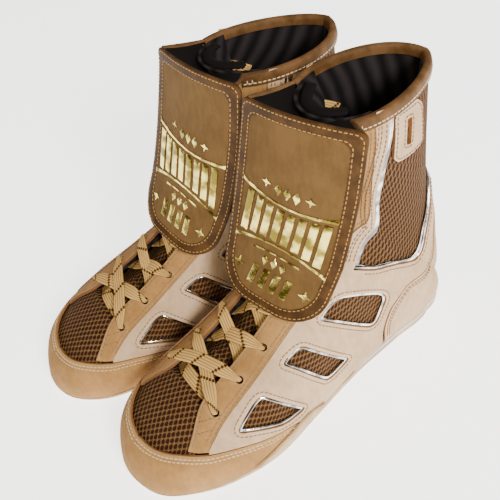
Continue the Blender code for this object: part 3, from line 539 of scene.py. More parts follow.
def woven(name, dark, light, pitch):
    """Close twill: fine diagonal ribs, painted darker in their valleys than on their crests, which is
    painted shade.  UV is in centimetres.
    """
    made = shader(name, .8)
    nt = made[1]
    uv = place(nt, 'UV')
    turned = add(nt, 'Mapping', uv, None, (0, 0, .8), (1 / pitch, 1 / pitch, 1)).outputs[0]
    rib = add(nt, 'TexWave', turned, wave_type='BANDS', bands_direction='X')
    put(rib, Scale=.32, Distortion=1.2, Detail_Scale=2.0)
    # the rib height also sets the colour: painted shade in the valleys between the ribs
    fac = rib.outputs[1]
    return finished(made, blend_color(nt, fac, dark, light), fac, .0004, .8)


def lace_cloth():
    """Flat lace of five ribs with slanted groups of dark dashes; each rib is painted darker towards its
    edges, painted shade in the grooves between the ribs.  UV is in centimetres.
    """
    made = shader('lace_cloth', .8)
    nt = made[1]
    uv = place(nt, 'UV')
    sep = add(nt, 'SeparateXYZ', uv)
    ribs = maths(nt, 'MULTIPLY_ADD', sep.outputs[0], 1 / .19, 10.5)
    across = maths(nt, 'PINGPONG', ribs, .5)
    along = maths(nt, 'MULTIPLY_ADD', maths(nt, 'FLOOR', ribs), .15, sep.outputs[1])
    phase = maths(nt, 'FRACT', maths(nt, 'MULTIPLY', along, 1 / 1.9))
    on = maths(nt, 'MULTIPLY', maths(nt, 'LESS_THAN', phase, .12), step_up(nt, across, .1, .2))
    weave = noise(nt, uv, 55, 2)
    # painted shade in the grooves: dark where two ribs meet, light on their crests, mixed with random yarn
    # tone from the weave noise
    rib_shade_and_yarn_tone = maths(nt, 'MULTIPLY_ADD', step_up(nt, across, .0, .3), .6, maths(nt, 'MULTIPLY', weave, .4))
    col = blend_color(nt, step_up(nt, rib_shade_and_yarn_tone, .15, .8), (.30, .15, .035), (.70, .43, .14))
    col = blend_color(nt, on, col, (.05, .018, .006))
    return finished(made, col, maths(nt, 'MULTIPLY_ADD', across, 1.2, weave), .0006, .7)


def toned(name, rough, clouds, ramp, dark, light, grain, depth, **values):
    """Two tones in clouds over a fine grain; with no grain, over the pores of leather."""
    made = shader(name, rough, **values)
    nt = made[1]
    o = place(nt)
    col = blend_color(nt, step_up(nt, noise(nt, o, *clouds), *ramp), dark, light)
    if grain:
        return finished(made, col, noise(nt, o, *grain), depth, .5)
    pores = put(add(nt, 'TexVoronoi', o), Scale=1500)
    return finished(made, col, pores.outputs['Distance'], depth, .5)


def leather(name, dark, light):
    return toned(name, .62, (90, 4), (.35, .68), dark, light, None, .00025, Specular_IOR_Level=.16)


def rubber(name, dark, light):
    return toned(name, .55, (60, 4), (.35, .68), dark, light, (1800, 2), .0002)


def plain(name, color, rough, scale=900):
    """One tone with a fine grain, for threads and hidden sheets."""
    return toned(name, rough, (scale, 2), (.3, .7), [c * .8 for c in color], color, (scale, 2), .0002)


def foil(name, dark, light, rough):
    """Shining foil with soft darker bands, as it mirrors an uneven room."""
    return toned(name, rough, (75, 2, .5, (1, .5, 1.4)), (.38, .62), dark, light, (500, 2), .0003,
                 Metallic=1.0)


MATS = {
    'suede': suede('suede_tan', (.27, .134, .039), (.415, .222, .074), (.455, .275, .108)),
    'suede_pale': suede('suede_cream', (.46, .30, .165), (.62, .43, .265), (.66, .49, .33)),
    'suede_flap': suede('suede_brown', (.092, .046, .012), (.152, .082, .025), (.175, .097, .033)),
    'binding': leather('collar_tape', (.08, .036, .009), (.145, .07, .024)),
    'flap_binding': leather('flap_tape', (.040, .016, .002), (.080, .034, .006)),
    'mesh': mesh_cloth('knitted_mesh', (.088, .038, .011), (.27, .143, .056), (.030, .010, .003)),
    'lining': woven('lining_twill', (.004, .003, .003), (.022, .018, .018), .9),
    'tongue': mesh_cloth('tongue_mesh', (.07, .029, .009), (.22, .11, .040), (.020, .008, .002)),
    'film': foil('silver_film', (.22, .21, .20), (.95, .95, .93), .13),
    'gold': foil('gold_foil', (.17, .125, .018), (.86, .70, .20), .2),
    'lace': lace_cloth(),
    'gum': rubber('gum_rubber', (.40, .25, .11), (.56, .38, .19)),
    'wedge': rubber('wedge_rubber', (.50, .45, .38), (.64, .59, .51)),
    'board': plain('fibre_board', (.30, .25, .18), .9),
    'stiffener': plain('stiffener_sheet', (.35, .32, .28), .7),
    'footbed': woven('footbed_cloth', (.010, .010, .011), (.05, .048, .05), 1.2),
    'raw': plain('raw_edge', (.28, .12, .04), .75, 1500),
    'bead': plain('brown_bead', (.17, .065, .018), .5),
    'thread': plain('pale_thread', (.74, .56, .34), .7, 2500),
    'gold_thread': plain('gold_thread', (.48, .27, .07), .6, 2500),
    # painted shade: the pale thread painted darker for the side stitches on the pale panels, standing for
    # the shade that falls on them
    'dark_thread': plain('thread_with_painted_shade', (.31, .18, .085), .7, 2500),
}


# ---------------------------------------------------------------- making pieces
def volume(v, faces):
    """Six times the signed volume, negative when the faces are inside out."""
    fans = np.array([(f[0], f[i], f[i + 1]) for f in faces for i in range(1, len(f) - 1)])
    a, b, c = v[fans[:, 0]], v[fans[:, 1]], v[fans[:, 2]]
    return float((a * np.cross(b, c)).sum())


BOOTS = ('left', 'right')


def make(name, verts, faces, mats, body='boot', face_mat=None, uv=None, rim=None, sharp=35,
         replaces=None, slot=None):
    """One visible piece on each boot.  verts in boot mm, or a function that gives them for a
    boot; uv and rim have one entry for each vertex.  Pieces of the flap hang turned with it.
    slot is not used."""
    made = []
    mats = [mats] if isinstance(mats, str) else list(mats)
    faces = [tuple(int(i) for i in f) for f in faces]
    for boot in BOOTS:
        p = verts(boot) if callable(verts) else np.asarray(verts, float)
        w = world(hung(p, boot) if body == 'flap_body' else p, boot)
        turned = [f[::-1] for f in faces] if volume(w, faces) < 0 else faces
        me = bpy.data.meshes.new(boot + '_' + name)
        me.from_pydata(w.tolist(), [], turned)
        for m in mats:
            me.materials.append(MATS[m])
        if face_mat is not None:
            me.polygons.foreach_set('material_index', np.asarray(face_mat, np.int32))
        if uv is not None:
            layer = me.uv_layers.new(name='UVMap')
            loops = np.zeros(len(me.loops), np.int32)
            me.loops.foreach_get('vertex_index', loops)
            layer.data.foreach_set('uv', np.asarray(uv, np.float32)[loops].ravel())
        if rim is not None:
            layer = me.attributes.new('rim', 'FLOAT', 'POINT')
            layer.data.foreach_set('value', np.asarray(rim, np.float32))
        me.shade_smooth()
        me.set_sharp_from_angle(angle=np.radians(sharp))
        ob = bpy.data.objects.new(boot + '_' + name, me)
        bpy.context.scene.collection.objects.link(ob)
        if body:
            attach(ob, boot + '_' + body)
        if replaces:
            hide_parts(boot + '_' + replaces)
        made.append(ob)
    return made


def between(grid, i, j):
    """Value of a grid of numbers or vectors at broken row and column numbers."""
    i0, j0 = i.astype(int), j.astype(int)
    u, w = i - i0, j - j0
    if grid.ndim == 3:
        u, w = u[:, None], w[:, None]
    return ((1 - u) * (1 - w) * grid[i0, j0] + u * (1 - w) * grid[i0 + 1, j0]
            + (1 - u) * w * grid[i0, j0 + 1] + u * w * grid[i0 + 1, j0 + 1])


# arc length tables, so that a weave keeps its true size on the upper
ARC_K = np.linspace(0, 12.6, 127)
ARC_S = np.linspace(-1, 1, 161)
ARC_P = point(ARC_K[:, None], ARC_S[None, :])
ACROSS = np.array([run(row) for row in ARC_P])
ACROSS -= ACROSS[:, 80:81]
ALONG = run(ARC_P[:, 100])


def cloth_uv(v):
    """Centimetres across and along the upper."""
    k, s = np.clip(v[:, 0], 0, 12.59), np.clip(v[:, 1], -.999, .999)
    return cols(between(ACROSS, k / .1, (s + 1) / .0125), np.interp(k, ARC_K, ALONG)) / 10


TAPE_REACH, TAPE_SQUEEZE = 20, .62


def on_upper(v, off):
    """Points off mm outside the upper's middle surface; every layer thins under the collar tape."""
    k, s = v.T
    far = np.linalg.norm(point(k, s) - point(float(LAST), s), axis=1)
    return lifted(k, s, off * (1 - TAPE_SQUEEZE * eased(1 - far / TAPE_REACH)))


def dense(line, surface, step=.5):
    """Points of a line on a surface, close together, for measuring distance to it."""
    p = surface(np.asarray(line, float), 0.0)
    d = run(p)
    return at(np.arange(0, d[-1], step), d, p)


BACK_FROM = 9.6


def closed(loop):
    return np.vstack([loop, loop[:1]])


def shell(name, sheet, low, high, mat, rims=(), grooves=(), lip=.7, wide=1.4, groove=.35,
          surface=on_upper, uv=cloth_uv, body='boot', edge=None, back=None, **kind):
    """Closed panel: its outside face rolls over at the rims and dips along stitch lines.  edge
    is another material for its edges.  back is one for its edges, its inner face and its
    outside from BACK_FROM on."""
    v, f = sheet
    base = surface(v, 0.0)
    lo = low(v) if callable(low) else np.full(len(v), float(low))
    hi = high(v) if callable(high) else np.full(len(v), float(high))
    rim = np.zeros(len(v))
    if len(rims):
        d = reach(base, np.vstack([dense(r, surface) for r in rims]))
        x = clamp(1 - d / wide)
        hi = hi - lip * (1 - np.sqrt(1 - x * x))
        rim = np.exp(-(d / 2.2) ** 2)
    if len(grooves):
        d = reach(base, np.vstack([dense(g, surface) for g in grooves]))
        hi = hi - groove * np.exp(-(d / .75) ** 2)
    used, index = np.unique(f, return_inverse=True)
    f = index.reshape(-1, 3)
    v, lo, hi, rim = v[used], lo[used], hi[used], rim[used]
    n, m = len(used), len(f)
    faces = [tuple(t) for t in f] + [tuple(t[::-1] + n) for t in f]
    seen = {pair for a, b, c in f for pair in ((a, b), (b, c), (c, a))}
    faces += [(b, a, a + n, b + n) for a, b in sorted(seen) if (b, a) not in seen]
    second = edge or back
    face_mat = np.zeros(len(faces), int)
    face_mat[2 * m:] = second is not None
    if back:
        face_mat[:m] = v[f][:, :, 0].mean(1) > BACK_FROM
        face_mat[m:] = 1
    return make(name, np.vstack([surface(v, hi), surface(v, lo)]), faces, [mat, second] if second else mat,
                body, face_mat, np.tile(uv(v), (2, 1)), np.tile(rim, 2), **kind)


# ---------------------------------------------------------------- stitches, tubes and ribbons
def sleeve(rings, ladder=None):
    """Closed skin over a row of rings of points.  Each end is one face, or with a ladder
    (count, last) that many four-sided ones, between point j and point last - j of the ring."""
    rings = np.asarray(rings)
    m, q = rings.shape[:2]
    faces = [(i * q + j, i * q + (j + 1) % q, (i + 1) * q + (j + 1) % q, (i + 1) * q + j)
             for i in range(m - 1) for j in range(q)]
    ends = [tuple(range(q))]
    if ladder:
        count, last = ladder
        ends = [(j, j + 1, last - j - 1, last - j) for j in range(count)]
    for start, turn in ((0, -1), ((m - 1) * q, 1)):
        faces += [tuple(start + j for j in end)[::turn] for end in ends]
    return rings.reshape(-1, 3), faces


def round_rings(mid, side, up, across, high, sides):
    """Rings of points round each middle point, with their half widths across and up."""
    turn = (np.arange(sides) * 2 * np.pi / sides)[:, None]
    return (mid[:, None] + side[:, None] * np.cos(turn) * np.reshape(across, (-1, 1, 1))
            + up[:, None] * np.sin(turn) * np.reshape(high, (-1, 1, 1)))


def stitch_mesh(rows, length=2.5, pitch=3.1, dia=.75):
    """Short thread loops along each row; a row is (points, normals) in boot mm."""
    spots = (np.array([-.5, -.32, .32, .5]) * length)[:, None]
    fat = np.array([.35, 1, 1, .35]) * dia / 2
    sink = np.array([-.32, 0, 0, -.32])[:, None]
    parts = []
    for p, n in rows:
        d = run(p)
        count = max(1, int(round(d[-1] / pitch)))
        t = (np.arange(count) + .5) * d[-1] / count
        ups = unit(at(t, d, n))
        ways = unit(at(t + .6, d, p) - at(t - .6, d, p))
        for c, way, up in zip(at(t, d, p), ways, ups):
            mid = c + spots * way + sink * up
            parts.append(sleeve(round_rings(mid, np.cross(way, up)[None], up[None], fat, fat, 5)))
    return joined(parts)


def tube_mesh(paths, sides=7):
    """Closed round tubes; a path is (points, normals, radius across, radius up)."""
    parts = []
    for p, n, across, high in paths:
        d = unit(np.gradient(p, axis=0))
        side = unit(np.cross(d, n))
        fat = np.r_[.3, np.ones(len(p) - 2), .3]
        parts.append(sleeve(round_rings(p, side, np.cross(side, d), across * fat, high * fat, sides)))
    return joined(parts)


def row_on_upper(line, off):
    line = np.asarray(line, float)
    return on_upper(line, off), normal(np.minimum(line[:, 0], 11.95), line[:, 1])


def edge_tubes(lines, off, across, high):
    return [(*row_on_upper(line, off), across, high) for line in lines]


# ---------------------------------------------------------------- lines shared by pieces
STAY_FRONT = [(2.09, .405), (2.45, .30), (2.9, .195), (3.5, .165), (4.6, .155), (7, .15), (9.5, .165),
              (11, .21), (12, .265)]
EYE_ROW = [(3.06, .305), (3.8, .262), (4.6, .25), (6, .24), (8, .24), (10, .265), (11.4, .30)]
STAY_OUT = [(2.55, .525), (2.8, .468), (3.3, .395), (4.2, .352), (5.4, .345), (7, .33), (8.4, .31),
            (10, .335), (11, .365), (12, .405)]
RAND_TOP = [(.98, 0), (1.12, .16), (1.42, .29), (1.95, .42), (2.46, .535), (3.05, .635), (3.66, .745),
            (4.3, .85), (4.85, 1.0)]
FOX_FRONT = [(6.75, 1.0), (6.95, .86), (7.45, .745), (8.2, .68), (9.1, .68), (10.1, .78), (10.75, 1.0)]
WIN_FRONT = [(12, .475), (11.5, .435), (11, .395), (10, .345), (8.8, .34), (7.9, .37), (7.2, .425)]
WIN_LOW = [(7.2, .425), (7.7, .51), (8.5, .56), (9.4, .615), (10.2, .72), (10.8, .86), (10.95, 1.0)]
WINDOWS = [
    [(3.16, .52), (3.9, .42), (4.74, .845), (4.17, .775)],
    [(4.56, .42), (5.12, .455), (5.98, .865), (5.36, .845)],
    [(5.7, .445), (6.42, .455), (7.5, .655), (6.72, .81)],
]


def eyelets(count=9):
    """Eyelets equally spaced in real millimetres along their row."""
    c = smooth(EYE_ROW, 40)
    d = run(point(*c.T))
    return at(np.linspace(0, d[-1], count), d, c)


def round_hole(k, s, r=2.7, n=18):
    """Small circle of real radius r drawn on the surface round (k, s)."""
    e = .02
    p = point(k, s)
    a = (point(k + e, s) - p) / e
    b = (point(k, s + e) - p) / e
    g = np.array([[a @ a, a @ b], [a @ b, b @ b]])
    w, q = np.linalg.eigh(g)
    m = q @ np.diag(1 / np.sqrt(w)) @ q.T
    t = np.arange(n) * 2 * np.pi / n
    return np.array([k, s]) + cols(np.cos(t), np.sin(t)) @ m * r


EYES = eyelets()
EYE_HOLES = [round_hole(k, s) for k, s in EYES]

rand_back = curve(RAND_TOP[4:])
rand_line = np.vstack([curve(RAND_TOP[:5]), rand_back[1:]])
stay_front, stay_out, fox_front, win_front, win_low = [
    curve(line) for line in (STAY_FRONT, STAY_OUT, FOX_FRONT, WIN_FRONT, WIN_LOW)]


def half_band(top):
    """Outline of the outer half of a cap over the toe, from the tip back to a top line."""
    return ring([*straight((0, 1), (0, .08)), [(0, .08), (.14, 0)], *straight((.14, 0), (top[0][0], 0)), top,
                 *straight((top[-1][0], 1), (0, 1))])


def doubled(line, *dists):
    """Stitch lines beside a line, in millimetres from it."""
    return [shifted(line, d) for d in dists]


# ---------------------------------------------------------------- toe, sides and heel
rand_thread, side_thread, edge_lines, bead_lines, chrome_lines = [], [], [], [], []


def sew(lines, off, rows=side_thread):
    """Adds stitch rows on the upper at a height, and gives the lines back for grooves."""
    rows += [row_on_upper(line, off) for line in lines]
    return lines


rand_rows = doubled(rand_line, 2.2, 4.6)
rand_half = cells(half_band(rand_line), marks=rand_rows + doubled(rand_line, .6, 1.4))
shell('toe_rand_skin', both(rand_half), 2.1, 3.9, 'suede', both_sides([rand_line]),
      sew(both_sides(rand_rows), 3.75, rand_thread), edge='raw', replaces='toe_rand')
edge_lines += edge_tubes(both_sides([rand_line]), 2.2, .5, .5)

toe_edge = curve([(.9, 0), (1.06, .2), (1.38, .35), (2.0, .49), (2.3, .42), (2.6, .335), (2.86, .26)])
toe_mesh = cells(ring([toe_edge, *straight((2.86, .26), (2.86, -.26)), flipped(toe_edge)[::-1]]), grid=2.2)
toe_apron = cells(ring(straight((2.8, -.26), (3.7, -.24), (3.7, .24), (2.8, .26), (2.8, -.26))), grid=1.8)


def apron_high(v):
    """From the toe mesh's own level down to the tongue, under the first lace bar."""
    low = -7.9 + 5.3 * np.exp(-(v[:, 1] / .12) ** 2)
    return .85 + (low - .85) * eased((v[:, 0] - 2.8) / .24)


shell('toe_apron_cloth', toe_apron, lambda v: apron_high(v) - .6, apron_high, 'mesh')
shell('toe_mesh_cloth', toe_mesh, 0.0, .9, 'mesh', replaces='toe_mesh')

vamp_half = cells(half_band(*straight((2.76, 0), (2.76, 1))), grid=6)
shell('vamp_lining_cloth', both(vamp_half), -3.9, -1.3, 'lining', replaces='vamp_lining')

stay_foot = [stay_out[0], (2.31, .468), stay_front[0]]
stay_loop = ring([stay_front, *straight(stay_front[-1], stay_out[-1]), stay_out[::-1], stay_foot])
stay_rows = [shifted(stay_front, 2.2)[2:], *[r[2:] for r in doubled(stay_out, -2.2, -4.6)]]
stay_rows += [paced([stay_rows[0][i], stay_rows[2][i - 1]]) for i in (4, 7)]
STAY = cells(stay_loop, EYE_HOLES, marks=stay_rows + [shifted(h, .7, True) for h in EYE_HOLES])

over_front = beside(stay_out, 1.3)
over_rand = beside(rand_back, 1.2)
over_front[0] = over_rand[0] = over_front[0] + np.array([.03, .006])
over_rand[-1] = (over_rand[-1][0] + .03, 1.0)
over_fox = beside(fox_front, 1.4)
over_fox[0] = (over_fox[0][0], 1.0)
over_loop = ring([over_front, [over_front[-1], win_front[0]], win_front, win_low[:-1],
                  [win_low[-2], over_fox[-2]], over_fox[:-1][::-1],
                  *straight(over_fox[0], over_rand[-1]), over_rand[::-1]])
win_loops = [rounded(w, 7.0) for w in WINDOWS]
over_rows = [closed(shifted(w, -2.6, True)) for w in win_loops]
over_rows += doubled(win_front[1:-2], 2.4, 6.0, 8.2) + [shifted(win_low[3:-6], 2.4)]
OVERLAY = cells(over_loop, win_loops, marks=over_rows + [shifted(w, -.7, True) for w in win_loops])

film_a = curve([(11.9, .43), (11, .38), (10, .345), (8.4, .322), (7.0, .35), (5.4, .37), (4.0, .385),
                (3.2, .45), (2.95, .56)])
film_b = curve([(2.95, .56), (3.62, .695), (4.2, .81), (4.7, .91), (5.2, .92)])
film_c = curve([(6.45, .90), (6.75, .82), (7.3, .69), (8.1, .63), (9.0, .635), (9.9, .72), (10.4, .81)])
film_d = beside(win_low, 2.6)[1:-1][::-1]
film_e = beside(win_front, 2.6)[:-1][::-1]
film_loop = ring([film_a, film_b, *straight(film_b[-1], film_c[0]), film_c, [film_c[-1], film_d[0]], film_d,
                  [film_d[-1], film_e[0]], film_e, [film_e[-1], film_a[0]]])
FILM = cells(film_loop, [shifted(w, 2.3, True) for w in win_loops])

mesh_in = curve([(2.55, .58), (2.9, .49), (3.4, .42), (4.2, .375), (5.4, .365), (7, .35), (8.4, .325),
                 (10, .345), (11, .38), (12, .42)])
mesh_fox = curve([(6.9, .985), (7.1, .9), (7.6, .79), (8.3, .725), (9.1, .73), (9.9, .80), (10.45, .985)])
mesh_foot = curve([(4.9, .985), (4.2, .86), (3.5, .745), (2.9, .645), (2.55, .58)])
MESH_SIDE = cells(ring([mesh_in, *straight((12, .42), (12, .992), mesh_fox[-1]), mesh_fox[::-1],
                        *straight(mesh_fox[0], (4.9, .985)), mesh_foot]), grid=3)

lining_in = curve([(2.84, .26), (3.5, .205), (4.6, .19), (7, .19), (9.5, .195), (11, .23), (12, .285)])
LINING = cells(ring([lining_in, *straight((12, .285), (12, .992), (9, .992)), [(9, .992), (8.9, 1)],
                     *straight((8.9, 1), (2.84, 1), (2.84, .25))]), EYE_HOLES, grid=3.4)

PATCH_LOOP = rounded([(11.87, .515), (11.87, .66), (11.80, .70), (11.42, .715), (11.22, .50), (11.26, .475),
                      (11.80, .495)], 2.0)
PATCH_SLOT = rounded([(11.75, .565), (11.75, .60), (11.45, .59), (11.45, .555)], 1.5)
patch_rows = [closed(shifted(PATCH_LOOP, 1.8, True)), closed(shifted(PATCH_SLOT, -1.8, True))]
PATCH = cells(PATCH_LOOP, [PATCH_SLOT], grid=2.4, marks=patch_rows)


def quilted(v):
    """Inner face of the lining: soft upright channels round the ankle."""
    across = cloth_uv(v)[:, 0] * 10
    fade = clamp((v[:, 0] - 8.6) / .6) * clamp((12 - v[:, 0]) / .15)
    return -3.9 - .6 * fade * np.sqrt(np.abs(np.sin(np.pi * across / 15)))


hole_rims = [closed(h) for h in EYE_HOLES]
win_rims = [closed(w) for w in win_loops]
win_chrome = [closed(shifted(w, 1.35, True)) for w in win_loops]
for side, sgn in (('lateral', 1), ('medial', -1)):
    def on_side(thing):
        if isinstance(thing, tuple):
            return thing if sgn > 0 else mirrored(thing)
        return [np.asarray(line) * (1, sgn) for line in thing]

    def panel(name, sheet, low, high, mat, node, **kind):
        shell(side + name, on_side(sheet), low, high, mat, replaces=side + node, **kind)

    panel('_lining_cloth', LINING, quilted, -1.5, 'lining', '_lining')
    panel('_mesh_cloth', MESH_SIDE, 0.0, .9, 'mesh', '_mesh')
    panel('_silver_rims', FILM, 1.7, 2.2, 'film', '_window_film')
    panel('_overlay_skin', OVERLAY, 2.9, 4.2, 'suede_pale', '_overlay', edge='raw',
          rims=on_side(win_rims + [win_front, win_low]), grooves=sew(on_side(over_rows), 4.05))
    panel('_eyestay_skin', STAY, 1.6, 3.6, 'suede', '_eyestay', edge='raw',
          rims=on_side([stay_front, stay_out] + hole_rims), grooves=sew(on_side(stay_rows), 3.35))
    panel('_patch_skin', PATCH, .9, 3.2, 'suede_pale', '_patch', edge='raw',
          rims=on_side([closed(PATCH_LOOP)]), grooves=sew(on_side(patch_rows), 3.05))
    edge_lines += edge_tubes(on_side(win_rims), 3.0, .5, .5)
    edge_lines += edge_tubes(on_side([fox_front, win_low[1:-2]]), 2.9, .7, .5)
    chrome_lines += edge_tubes(on_side(win_chrome), 2.3, 1.15, .8)
    beside_front = [shifted(line, -1.5 * sgn) for line in on_side([win_front[1:-1], win_low[:-3]])]
    chrome_lines += edge_tubes(beside_front, 2.3, 1.3, .8)
    bead_lines += edge_tubes(on_side([stay_front]), 1.5, .9, .8)

fox_rows = doubled(fox_front[2:-2], 2.2, 4.6)
fox_half = cells(ring([fox_front, *straight((10.75, 1.0), (9, 1), (6.75, 1))]), marks=fox_rows)
shell('heel_foxing_skin', both(fox_half), 2.4, 4.1, 'suede_pale', both_sides([fox_front]),
      sew(both_sides(fox_rows), 3.95), edge='raw', replaces='heel_foxing')


# ---------------------------------------------------------------- collar tape
def collar():
    s = np.r_[np.linspace(.27, .94, 60), [.96, .98, 1.0, 1.02, 1.04], np.linspace(1.06, 1.73, 60)]
    k = np.full(len(s), 12.0)
    c = point(k, s)
    n = normal(k, s)
    t = unit(np.gradient(c, axis=0))
    drop = unit(point(k - .08, s) - c)
    drop = unit(drop - t * (drop * t).sum(1)[:, None])
    prof = np.array([
        (-1.9, 5), (-1.8, .4), (1.7, .4), (1.9, 6.9), (2.6, 7.0), (3.0, 6.6), (3.0, 5.0), (2.75, 4.6),
        (2.95, 4.2), (2.85, 1.8), (2.45, .1), (1.8, -.8), (.9, -1.2), (0, -1.3), (-.9, -1.2),
        (-1.8, -.7), (-2.4, .2), (-2.7, 1.8), (-2.9, 4.8), (-2.5, 5.1)])
    rings = c[:, None] + n[:, None] * prof[:, :1] + drop[:, None] * prof[:, 1:]
    make('collar_tape', *sleeve(rings), 'binding', replaces='collar_binding', sharp=50)
    rand_thread.append((c + n * 2.95 + drop * 4.6, n))
    for i in (2, 4, len(s) - 3, len(s) - 5):
        bar = np.stack([c[i] + n[i] * 3.05 + drop[i] * d for d in (1.0, 3.2, 5.6)])
        rand_thread.append((bar, np.repeat(n[i:i + 1], 3, 0)))


collar()


# ---------------------------------------------------------------- flap
FLAP_LEN, BIND = 143.0, 9.0
FB = np.linspace(-2, 172, 59)
FA = np.linspace(-46, 46, 65)
FLAP_LINE = [(102.2, 236), (102.6, 222), (109.5, 187.5), (119.5, 154), (133.5, 120.5), (153.5, 93),
             (180, 78), (206, 68)]
FLAP_TOP, FLAP_BEND = 222.0, 160.0


def flap_grid():
    """Resting surface of the flap: stiffer than the boot under it, so it spans the hollow of
    the instep and bends across in one gentle arc.  FA is mm across, FB mm down from the
    height FLAP_TOP on the line; FLAP_BEND is the radius of the arc."""
    line = smooth(FLAP_LINE, 24)
    d = run(line)
    d = d - np.interp(-FLAP_TOP, -line[:, 1], d)
    fall = unit(at(FB + 2, d, line) - at(FB - 2, d, line))
    out = cols(-fall[:, 1], fall[:, 0])[:, None]
    turn = FA[:, None] / FLAP_BEND
    across = np.broadcast_to(np.sin(turn), (len(FB), len(FA), 1))
    middle = at(FB, d, line)[:, None] - out * FLAP_BEND * (1 - np.cos(turn))
    return (np.concatenate([across * FLAP_BEND, middle], -1),
            np.concatenate([across, out * np.cos(turn)], -1))


FLAP_POS, FLAP_NOR = flap_grid()


def on_flap(v, off):
    """Points off mm above the flap's resting surface; v is mm across and mm down."""
    i = np.clip((v[:, 1] - FB[0]) / (FB[1] - FB[0]), 0, len(FB) - 1.001)
    j = np.clip((v[:, 0] - FA[0]) / (FA[1] - FA[0]), 0, len(FA) - 1.001)
    off = np.broadcast_to(np.asarray(off, float), len(v))
    return between(FLAP_POS, i, j) + unit(between(FLAP_NOR, i, j)) * off[:, None]


def flap_outline(inset=0.0, step=3.0):
    """Small round top corners, straight sides, round bottom."""
    w = 42.0 - inset
    top, end = inset, FLAP_LEN - inset
    r = 30.0 - inset * .6
    corner = np.linspace(0, np.pi / 2, 6)[:-1]
    right = np.vstack([cols(w - 6 + 6 * np.sin(corner), top + 6 - 6 * np.cos(corner)),
                       paced([(w, top + 6), (w + .5, 40), (w, 90), (w - 2, end - r)], step, PLAIN)])
    turn = np.linspace(0, np.pi / 2, 14)[1:]
    arc = cols(w - 2 - (w - 12) * (1 - np.cos(turn)), end - r + r * np.sin(turn))
    half = np.vstack([right, arc])
    left = -flipped(half)[::-1]
    low_edge, top_edge = paced([half[-1], left[0]], step, PLAIN), paced([left[-1], half[0]], step, PLAIN)
    return ring([half, low_edge, left, top_edge])


def flap_shell(name, sheet, low, high, mat, rims=(), grooves=(), **kind):
    v, f = sheet
    return shell(name, (v, f[:, ::-1]), low, high, mat, rims, grooves, surface=on_flap,
                 uv=lambda v: v / 10, body='flap_body', **kind)


flap_rims = [closed(flap_outline(0)), closed(flap_outline(BIND))]
flap_rows_at = [flap_outline(1.9), flap_outline(7.2)]
flap_face = cells(flap_outline(BIND - 1.5), grid=2.6, space=PLAIN)
flap_ring = cells(flap_outline(0), [flap_outline(BIND)], grid=2.6, space=PLAIN,
                  marks=flap_rows_at + [flap_outline(.7), flap_outline(BIND - .7)])


def puffed(v):
    """The suede face swells a little between its seams."""
    x = clamp((42 - np.abs(v[:, 0])) / 14)
    return 8.7 + .7 * x * (2 - x)


flap_shell('flap_skin', flap_face, 7.7, puffed, 'suede_flap', replaces='flap')
flap_shell('flap_tape', flap_ring, 7.4, 9.7, 'flap_binding', flap_rims, [closed(r) for r in flap_rows_at],
           lip=1.0, wide=1.8, replaces='flap_binding')


def row_on_flap(line, off):
    return on_flap(line, off), unit(on_flap(line, off + 1.0) - on_flap(line, off))


flap_rows = [row_on_flap(closed(r), 9.45) for r in flap_rows_at]


# ornament: slanted bars between two flared rules, lozenges and four-pointed stars
def flare(x):
    return 4.4 * (x / 31) ** 2


def rule(w, mid, bow, thick):
    """A thin band that widens and bows away towards its ends."""
    x = np.linspace(-w, w, 25)
    y = mid + bow * flare(x)
    t = thick * (.45 + .55 * (x / w) ** 2)
    return np.vstack([cols(x, y - t), cols(x, y + t)[::-1]])


def lozenge(x, y, w, h, slant=0.0):
    return np.array([(x, y - h), (x + w, y - slant), (x, y + h), (x - w, y + slant)])


def star(x, y, size):
    turn = np.arange(8) * np.pi / 4
    far = np.where(np.arange(8) % 2 == 0, size, size * .36)
    return cols(x + far * np.sin(turn), y - far * np.cos(turn))


def bar(x, top, low, w, slant):
    return np.array([(x + slant, top), (x + w + slant, top), (x + w - slant, low), (x - slant, low)])


ORNAMENT = [rule(34, 63.5, -1, 1.4), rule(34, 93.5, 1.35, 1.4), rule(17, 100, 1.2, .9)]
for x in 7.8 * np.arange(8) - 29.5:
    ORNAMENT.append(bar(x, 66.5 - flare(x + 3), 90.5 + 1.2 * flare(x + 3), 5.2, 1.0))
for x in (-6.5, 0, 6.5):
    ORNAMENT += [lozenge(x, 53.5, 2.5, 4.6), lozenge(x, 107, 2.4, 4.2)]
for x in 8.2 * np.arange(4) - 14.5:
    ORNAMENT.append(bar(x, 113.5, 128, 4.6, .8))
ORNAMENT += [star(-15.5, 52, 3.6), star(15.5, 52, 3.6), star(-25, 119, 4.4), star(25, 119, 4.4)]
v, f = joined([cells(o, grid=2.2, space=PLAIN) for o in ORNAMENT])
flap_shell('gold_ornament', (v, np.array(f)), 9.0, 10.3, 'gold', [closed(o) for o in ORNAMENT], lip=.75,
           wide=1.5, replaces='flap_emblem')


